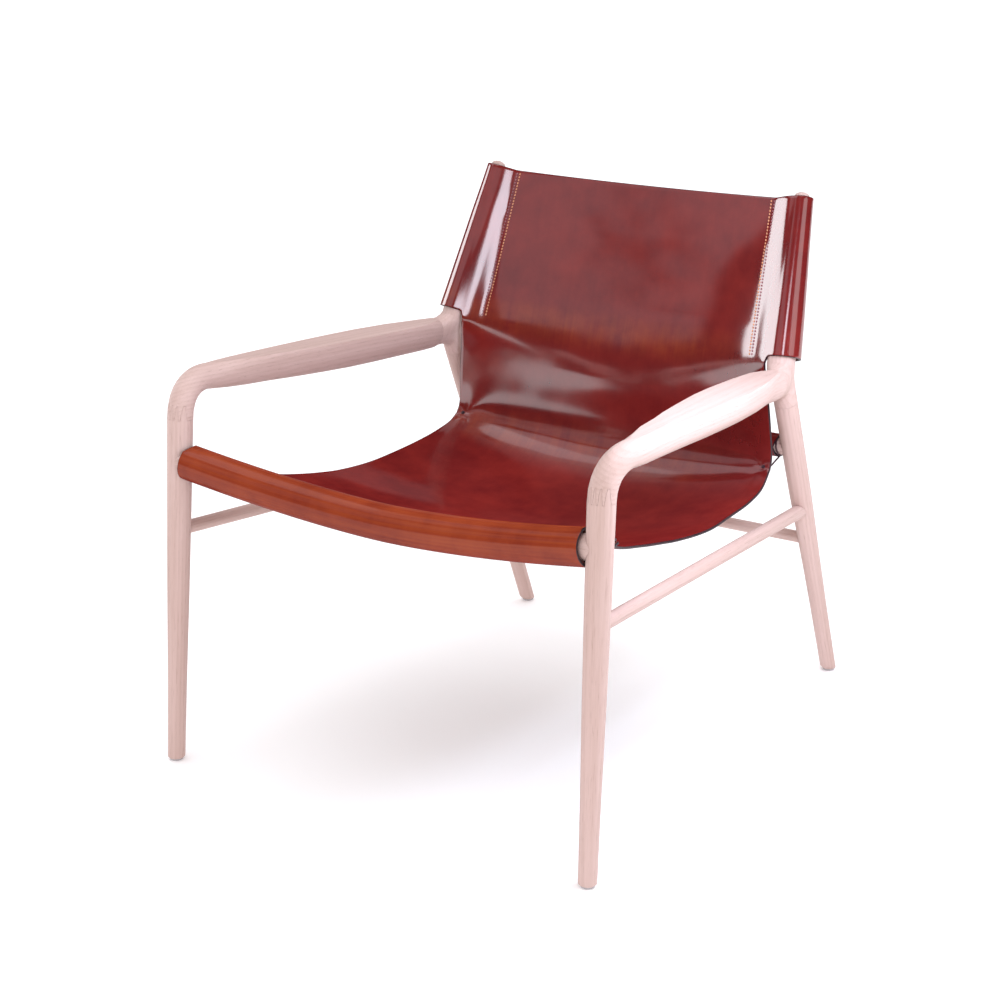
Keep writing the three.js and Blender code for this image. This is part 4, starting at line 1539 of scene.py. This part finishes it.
@dataclass
class SeamStitching:
    """Two rows of waxed thread that hold each wing's flap behind the panel."""

    hide: Hide
    pitch: float = 0.0046
    length: float = 0.0034
    radius: float = 0.00115
    rows: tuple[float, float] = (0.0014, 0.0066)
    rise: float = 0.00005
    lean: float = math.radians(7)
    ends: tuple[float, float] = (0.012, 0.985)

    def build(self, name: str, side: Side, row: int, thread: Material) -> None:
        """Sews one row, front and back.

        Args:
            name: The piece's name.
            side: The sleeve's side.
            row: 0 for the row nearer the post, 1 for the other.
            thread: The thread's finish.
        """
        bm = bmesh.new()
        sleeve = self.hide.sleeves[side]
        height = (sleeve.centre(1) - sleeve.centre(0)).length
        count = int(height * (self.ends[1] - self.ends[0]) / self.pitch)
        for k in range(count):
            share = self.ends[0] + (self.ends[1] - self.ends[0]) * (k + 0.5) / count
            self._stitch(bm, side, share, self.rows[row])
        smooth_all(bm)
        new_piece(name, bm, [thread])

    def _point(self, side: Side, share: float, inward: float) -> tuple[Vector, Vector]:
        """A point of a row.

        Args:
            side: The sleeve's side.
            share: The share of the sleeve's height.
            inward: How far the row is from the seam's edge.

        Returns:
            The point, in the middle of the panel's thickness, and the direction out of it.
        """
        sleeve = self.hide.sleeves[side]
        edge = sleeve.front_layer(share, self.hide.panel_reach[side])
        seam = sleeve.front_layer(share, sleeve.reach(share))
        part = (abs(seam.x) - inward) / abs(edge.x)
        point = self.hide.sleeve_point(side, share, part)
        place, normal, _, _ = self.hide.skin.find_nearest(point)
        if normal.y > 0:
            normal.negate()
        return place, normal

    def _stitch(self, bm: BMesh, side: Side, share: float, inward: float) -> None:
        """Adds one stitch in front and one behind.

        Args:
            bm: The row's mesh.
            side: The sleeve's side.
            share: The share of the sleeve's height.
            inward: How far the row is from the seam's edge.
        """
        sleeve = self.hide.sleeves[side]
        point, normal = self._point(side, share, inward)
        lean = Matrix.Rotation(self.lean * side.value, 3, normal)
        along = lean @ sleeve.axis
        across = along.cross(normal).normalized()
        turn = frame_of(across, normal, along)
        proud = LEATHER / 2 + self.rise
        for away in (proud, -(proud + LEATHER + LAYER_GAP)):
            place = Matrix.Translation(point + normal * away)
            add_stitch(bm, place @ turn, (self.radius, self.radius, self.length / 2))


@dataclass
class RailTube:
    """The leather tube round the rear rail, closed by a stitched lap underneath."""

    half: float = 0.256
    slant: float = 0.30
    flare: float = 0.07
    inner: float = 0.0131
    steps: int = 60
    flat_along: float = 0.2
    lap_turn: float = math.radians(250)
    pitch: float = 0.0045
    stitch: tuple[float, float, float] = (0.0015, 0.00042, 0.00042)
    sewn_from: float = 0.012

    def build(self, leather: Material, edge: Material, flesh: Material, thread: Material) -> None:
        """Makes the tube and its row of stitches.

        Args:
            leather: The grain side.
            edge: The cut edges.
            flesh: The flesh side.
            thread: The stitches.
        """
        bm = bmesh.new()
        radius = self.inner + LEATHER / 2
        bmesh.ops.create_circle(bm, cap_ends=False, segments=48, radius=radius)
        turn = Matrix.Rotation(math.pi / 2, 4, "Y")
        start = Matrix.Translation((-self.half, REAR_RAIL.back, REAR_RAIL.up))
        bmesh.ops.transform(bm, matrix=start @ turn, verts=bm.verts)
        edges = list(bm.edges)
        for _ in range(self.steps):
            verts, edges = draw_out(bm, edges)
            bmesh.ops.translate(bm, vec=(2 * self.half / self.steps, 0, 0), verts=verts)
        for vert in bm.verts:
            flared = max(abs(vert.co.x) / self.half - (1 - self.flare), 0) / self.flare
            slant = flared * (vert.co.z - REAR_RAIL.up) * self.slant
            vert.co.x += math.copysign(slant, vert.co.x)
        order_faces(bm)
        bmesh.ops.recalc_face_normals(bm, faces=bm.faces)
        flat = bm.loops.layers.uv.new("hide")
        for loop in (loop for face in bm.faces for loop in face.loops):
            loop[flat].uv = (loop.vert.co.x, self.flat_along)
        smooth_all(bm)
        skins = [leather, edge, flesh]
        thicken(new_piece("rail_tube", bm, skins, ["rear_rail_sleeve"]))
        self._sew(thread)

    def _sew(self, thread: Material) -> None:
        """Sews the tube's lap.

        Args:
            thread: The stitches.
        """
        bm = bmesh.new()
        reach = self.inner + LEATHER
        out = Vector((0, math.cos(self.lap_turn), math.sin(self.lap_turn)))
        count = int(2 * (self.half - self.sewn_from) / self.pitch)
        for k in range(count):
            x = -self.half + self.sewn_from + (k + 0.5) * self.pitch
            middle = Vector((x, REAR_RAIL.back, REAR_RAIL.up)) + out * reach
            add_stitch(bm, Matrix.Translation(middle), self.stitch)
        smooth_all(bm)
        new_piece("rail_tube_stitches", bm, [thread])


@dataclass
class Lace:
    """A thong that is knotted in front of the hide's hole and turns round the rear rail."""

    side: Side
    radius: float = 0.0012
    steps: tuple[tuple[float, float, float], ...] = (
        # outwards, backwards and upwards from the hole
        (0.0000, -0.0022, 0.0022),
        (0.0000, 0.0000, 0.0000),
        (0.0004, 0.0036, -0.0030),
        (0.0014, 0.0172, -0.0006),
        (0.0024, 0.0300, 0.0044),
    )
    turns: tuple[tuple[float, float], ...] = (
        # degrees round the rail from its back, half width
        (-90, 0.2612),
        (-45, 0.2606),
        (0, 0.2592),
        (45, 0.2585),
        (90, 0.2585),
        (135, 0.2592),
        (180, 0.2606),
        (225, 0.2622),
        (270, 0.2628),
        (310, 0.2624),
    )
    rail_radius: float = 0.0128
    rail_gap: float = 0.0001
    point_steps: int = 8
    knot_step: tuple[float, float] = (-0.0026, 0.0026)
    knot_turns: int = 3
    knot_tilt: float = math.radians(25)
    knot_thong_share: float = 1.05
    knot_reach_share: float = 1.5

    def build(self, finish: Material) -> None:
        """Makes the thong and its knot.

        Args:
            finish: The thong's finish.
        """
        hole = LACE_HOLE.at(self.side)
        way = [hole + Vector((self.side.value * x, y, z)) for x, y, z in self.steps]
        reach = self.rail_radius + self.radius + self.rail_gap
        for degrees, half in self.turns:
            turn = math.radians(degrees)
            way.append(Vector((
                self.side.value * half,
                REAR_RAIL.back + reach * math.cos(turn),
                REAR_RAIL.up + reach * math.sin(turn),
            )))
        knot = hole + Vector((0, *self.knot_step))
        self._thong(f"lace_thong_{self.side.word}", way, finish)
        self._knot(f"lace_knot_{self.side.word}", knot, finish)

    def _thong(self, name: str, way: Sequence[Vector], finish: Material) -> None:
        """Makes a thong.

        Args:
            name: The piece's name.
            way: The points that it goes through.
            finish: Its finish.
        """
        course = Course(list(way))
        count = (len(way) - 1) * self.point_steps
        points = [course.at((len(way) - 1) * k / count) for k in range(count + 1)]
        bm = bmesh.new()
        side = (points[1] - points[0]).cross(UP).normalized()
        ring = None
        for k, point in enumerate(points):
            forward = (points[min(k + 1, count)] - points[max(k - 1, 0)]).normalized()
            side = (side - forward * side.dot(forward)).normalized()
            turn = frame_of(side, forward.cross(side), forward)
            made = bmesh.ops.create_circle(
                bm, cap_ends=False, segments=10, radius=self.radius,
                matrix=Matrix.Translation(point) @ turn,
            )["verts"]
            edges = list(dict.fromkeys(e for v in made for e in v.link_edges))
            if ring:
                bmesh.ops.bridge_loops(bm, edges=ring + edges)
            ring = edges
        bmesh.ops.holes_fill(bm, edges=bm.edges, sides=0)
        bmesh.ops.recalc_face_normals(bm, faces=bm.faces)
        for face in bm.faces:
            face.smooth = len(face.verts) == 4
        new_piece(name, bm, [finish], [f"lace_{self.side.word}"])

    def _knot(self, name: str, middle: Vector, finish: Material) -> None:
        """Makes the knot: turns of the thong pulled tight round each other.

        Args:
            name: The piece's name.
            middle: The knot's middle.
            finish: Its finish.
        """
        bm = bmesh.new()
        upright = Matrix.Rotation(math.pi / 2, 4, "X")
        out = Matrix.Translation((self.radius * self.knot_reach_share, 0, 0))
        tilt = Matrix.Rotation(self.knot_tilt, 4, "Y")
        for k in range(self.knot_turns):
            place = Matrix.Translation(middle)
            place = place @ Matrix.Rotation(math.pi * k / self.knot_turns, 4, "X") @ tilt
            made = bmesh.ops.create_circle(
                bm, cap_ends=False, segments=8, radius=self.radius * self.knot_thong_share,
                matrix=place @ out @ upright,
            )["verts"]
            edges = list(dict.fromkeys(e for v in made for e in v.link_edges))
            axis = (place.to_3x3() @ UP).normalized()
            bmesh.ops.spin(bm, geom=edges + made, cent=middle, axis=axis,
                           angle=2 * math.pi, steps=18, use_merge=True)
        bmesh.ops.recalc_face_normals(bm, faces=bm.faces)
        smooth_all(bm)
        new_piece(name, bm, [finish])


# The studio


@dataclass(frozen=True)
class SoftLight:
    """One soft light of the studio."""

    name: str
    place: tuple[float, float, float]
    aim: tuple[float, float, float]
    size: tuple[float, float]
    power: float
    use: Use
    colour: Colour = (1.0, 1.0, 1.0)

    def build(self) -> None:
        """Hangs the light."""
        data = bpy.data.lights.new(self.name, "AREA")
        data.shape = "RECTANGLE"
        data.size, data.size_y = self.size
        data.energy, data.color = self.power, self.colour
        lamp = bpy.data.objects.new(self.name, data)
        lamp.location = self.place
        away = Vector(self.aim) - Vector(self.place)
        lamp.rotation_mode = "QUATERNION"
        lamp.rotation_quaternion = away.to_track_quat("-Z", "Y")
        lamp.visible_camera = False
        lamp.visible_diffuse, lamp.visible_glossy = self.use.value
        bpy.context.scene.collection.objects.link(lamp)


@dataclass
class Studio:
    """A pale floor, soft light and the camera at the photograph's angle."""

    eye: Vector = field(default_factory=lambda: Vector((1.5584, -2.4213, 1.2541)))
    azimuth: float = math.radians(33.80)
    elevation: float = math.radians(17.78)
    lens: float = 77.10
    sensor: float = 36.0
    floor_half: float = 14.0
    floor_glow: float = 0.16
    lights: tuple[SoftLight, ...] = (
        SoftLight("side_right", (1.50, -0.15, 1.25), (0.2, -0.05, 0.5), (0.9, 0.9), 2.8, Use.GLOSS),
        SoftLight("strip_left", (-1.67, -0.22, 1.02), (0.25, 0.2, 0.6), (0.80, 0.80), 10.0,
                  Use.GLOSS, (0.95, 0.97, 1.0)),
        SoftLight("strip_front", (0.82, -2.30, 1.95), (-0.2, 0.2, 0.6), (0.62, 1.0), 10,
                  Use.GLOSS, (0.88, 0.89, 1.0)),
        SoftLight("window", (-1.07, -2.27, 1.82), (0, 0.25, 0.6), (2.3, 1.06), 3.0, Use.GLOSS,
                  (0.95, 0.92, 1.0)),
        SoftLight("roof_left", (-1.10, -0.50, 2.34), (0.1, 0.2, 0.37), (1.3, 1.3), 4.5, Use.GLOSS,
                  (0.97, 0.93, 1.0)),
        SoftLight("rear_left", (-1.55, 2.40, 1.35), (-0.1, -0.1, 0.4), (1.4, 0.6), 1.5, Use.GLOSS,
                  (0.96, 0.95, 1.0)),
        SoftLight("fill_front", (1.50, -2.60, 0.75), (0.1, 0, 0.3), (1.6, 1.2), 6, Use.FILL),
        SoftLight("arm_right", (0.57, -0.10, 0.78), (0.33, -0.10, 0.52), (0.34, 0.16), 3.6,
                  Use.FILL, (0.72, 0.82, 1.0)),
    )
    sun_strength: float = 0.80
    sun_angle: float = math.radians(70)
    world_colour: Colour = (0.985, 0.98, 1.0)
    world_strength: float = 1.02

    def build(self) -> None:
        """Makes the camera first, then the floor, the light and the world."""
        self._camera()
        self._floor()
        for light in self.lights:
            light.build()
        self._sky()
        self._world()

    def _camera(self) -> None:
        """Sets the camera up."""
        data = bpy.data.cameras.new("camera")
        data.lens, data.sensor_width = self.lens, self.sensor
        data.clip_start, data.clip_end = 0.05, 60
        camera = bpy.data.objects.new("camera", data)
        camera.location = self.eye
        look = Vector((
            -math.sin(self.azimuth) * math.cos(self.elevation),
            math.cos(self.azimuth) * math.cos(self.elevation),
            -math.sin(self.elevation),
        ))
        camera.rotation_mode = "QUATERNION"
        camera.rotation_quaternion = look.to_track_quat("-Z", "Y")
        bpy.context.scene.collection.objects.link(camera)
        bpy.context.scene.camera = camera

    def _floor(self) -> None:
        """Lays the floor."""
        bm = bmesh.new()
        bmesh.ops.create_grid(bm, x_segments=1, y_segments=1, size=self.floor_half)
        mesh = bpy.data.meshes.new("floor")
        bm.to_mesh(mesh)
        bm.free()
        paint = Paint("pale_floor")
        speck = paint.cloud(paint.object_place(), 3, 2)
        tone = paint.mix(speck, (0.93, 0.93, 0.935), (0.95, 0.95, 0.955))
        mesh.materials.append(paint.finish({
            "Base Color": tone, "Roughness": 0.9, "Specular IOR Level": 0.1,
            "Emission Color": (1, 1, 1, 1), "Emission Strength": self.floor_glow,
        }))
        floor = bpy.data.objects.new("floor", mesh)
        bpy.context.scene.collection.objects.link(floor)

    def _sky(self) -> None:
        """Hangs one even, very soft light straight above."""
        data = bpy.data.lights.new("overhead", "SUN")
        data.energy, data.angle = self.sun_strength, self.sun_angle
        data.color = self.world_colour
        bpy.context.scene.collection.objects.link(bpy.data.objects.new("overhead", data))

    def _world(self) -> None:
        """Fills the room with even light that polished leather doesn't mirror."""
        world = bpy.data.worlds.new("studio")
        world.use_nodes = True
        background = world.node_tree.nodes["Background"]
        background.inputs["Color"].default_value = (*self.world_colour, 1)
        background.inputs["Strength"].default_value = self.world_strength
        world.cycles_visibility.glossy = False
        bpy.context.scene.world = world
        bpy.context.scene.view_settings.view_transform = "Standard"


def main() -> None:
    """Builds the chair and its studio in order."""
    logging.basicConfig(level=logging.INFO, format="%(message)s")
    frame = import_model()
    Studio().build()
    OakFrame(frame["nodes"]).build()
    leather = LeatherFinish().material("hide_grain")
    edge = EdgeFinish().material("hide_edge")
    flesh = FleshFinish().material("hide_flesh")
    orange = ORANGE_THREAD.material("orange_thread")
    plum = PLUM_THREAD.material("plum_thread")
    hide = Hide()
    sling = hide.build(leather, edge, flesh)
    stitching = SeamStitching(hide)
    for side in Side:
        for row, thread in enumerate((plum, orange)):
            stitching.build(f"seam_stitches_{side.word}_{row + 1}", side, row, thread)
    RailTube().build(leather, edge, flesh, orange)
    thong = DARK_THONG.material("lace_leather")
    for side in Side:
        Lace(side).build(thong)


if __name__ == "__main__":
    main()
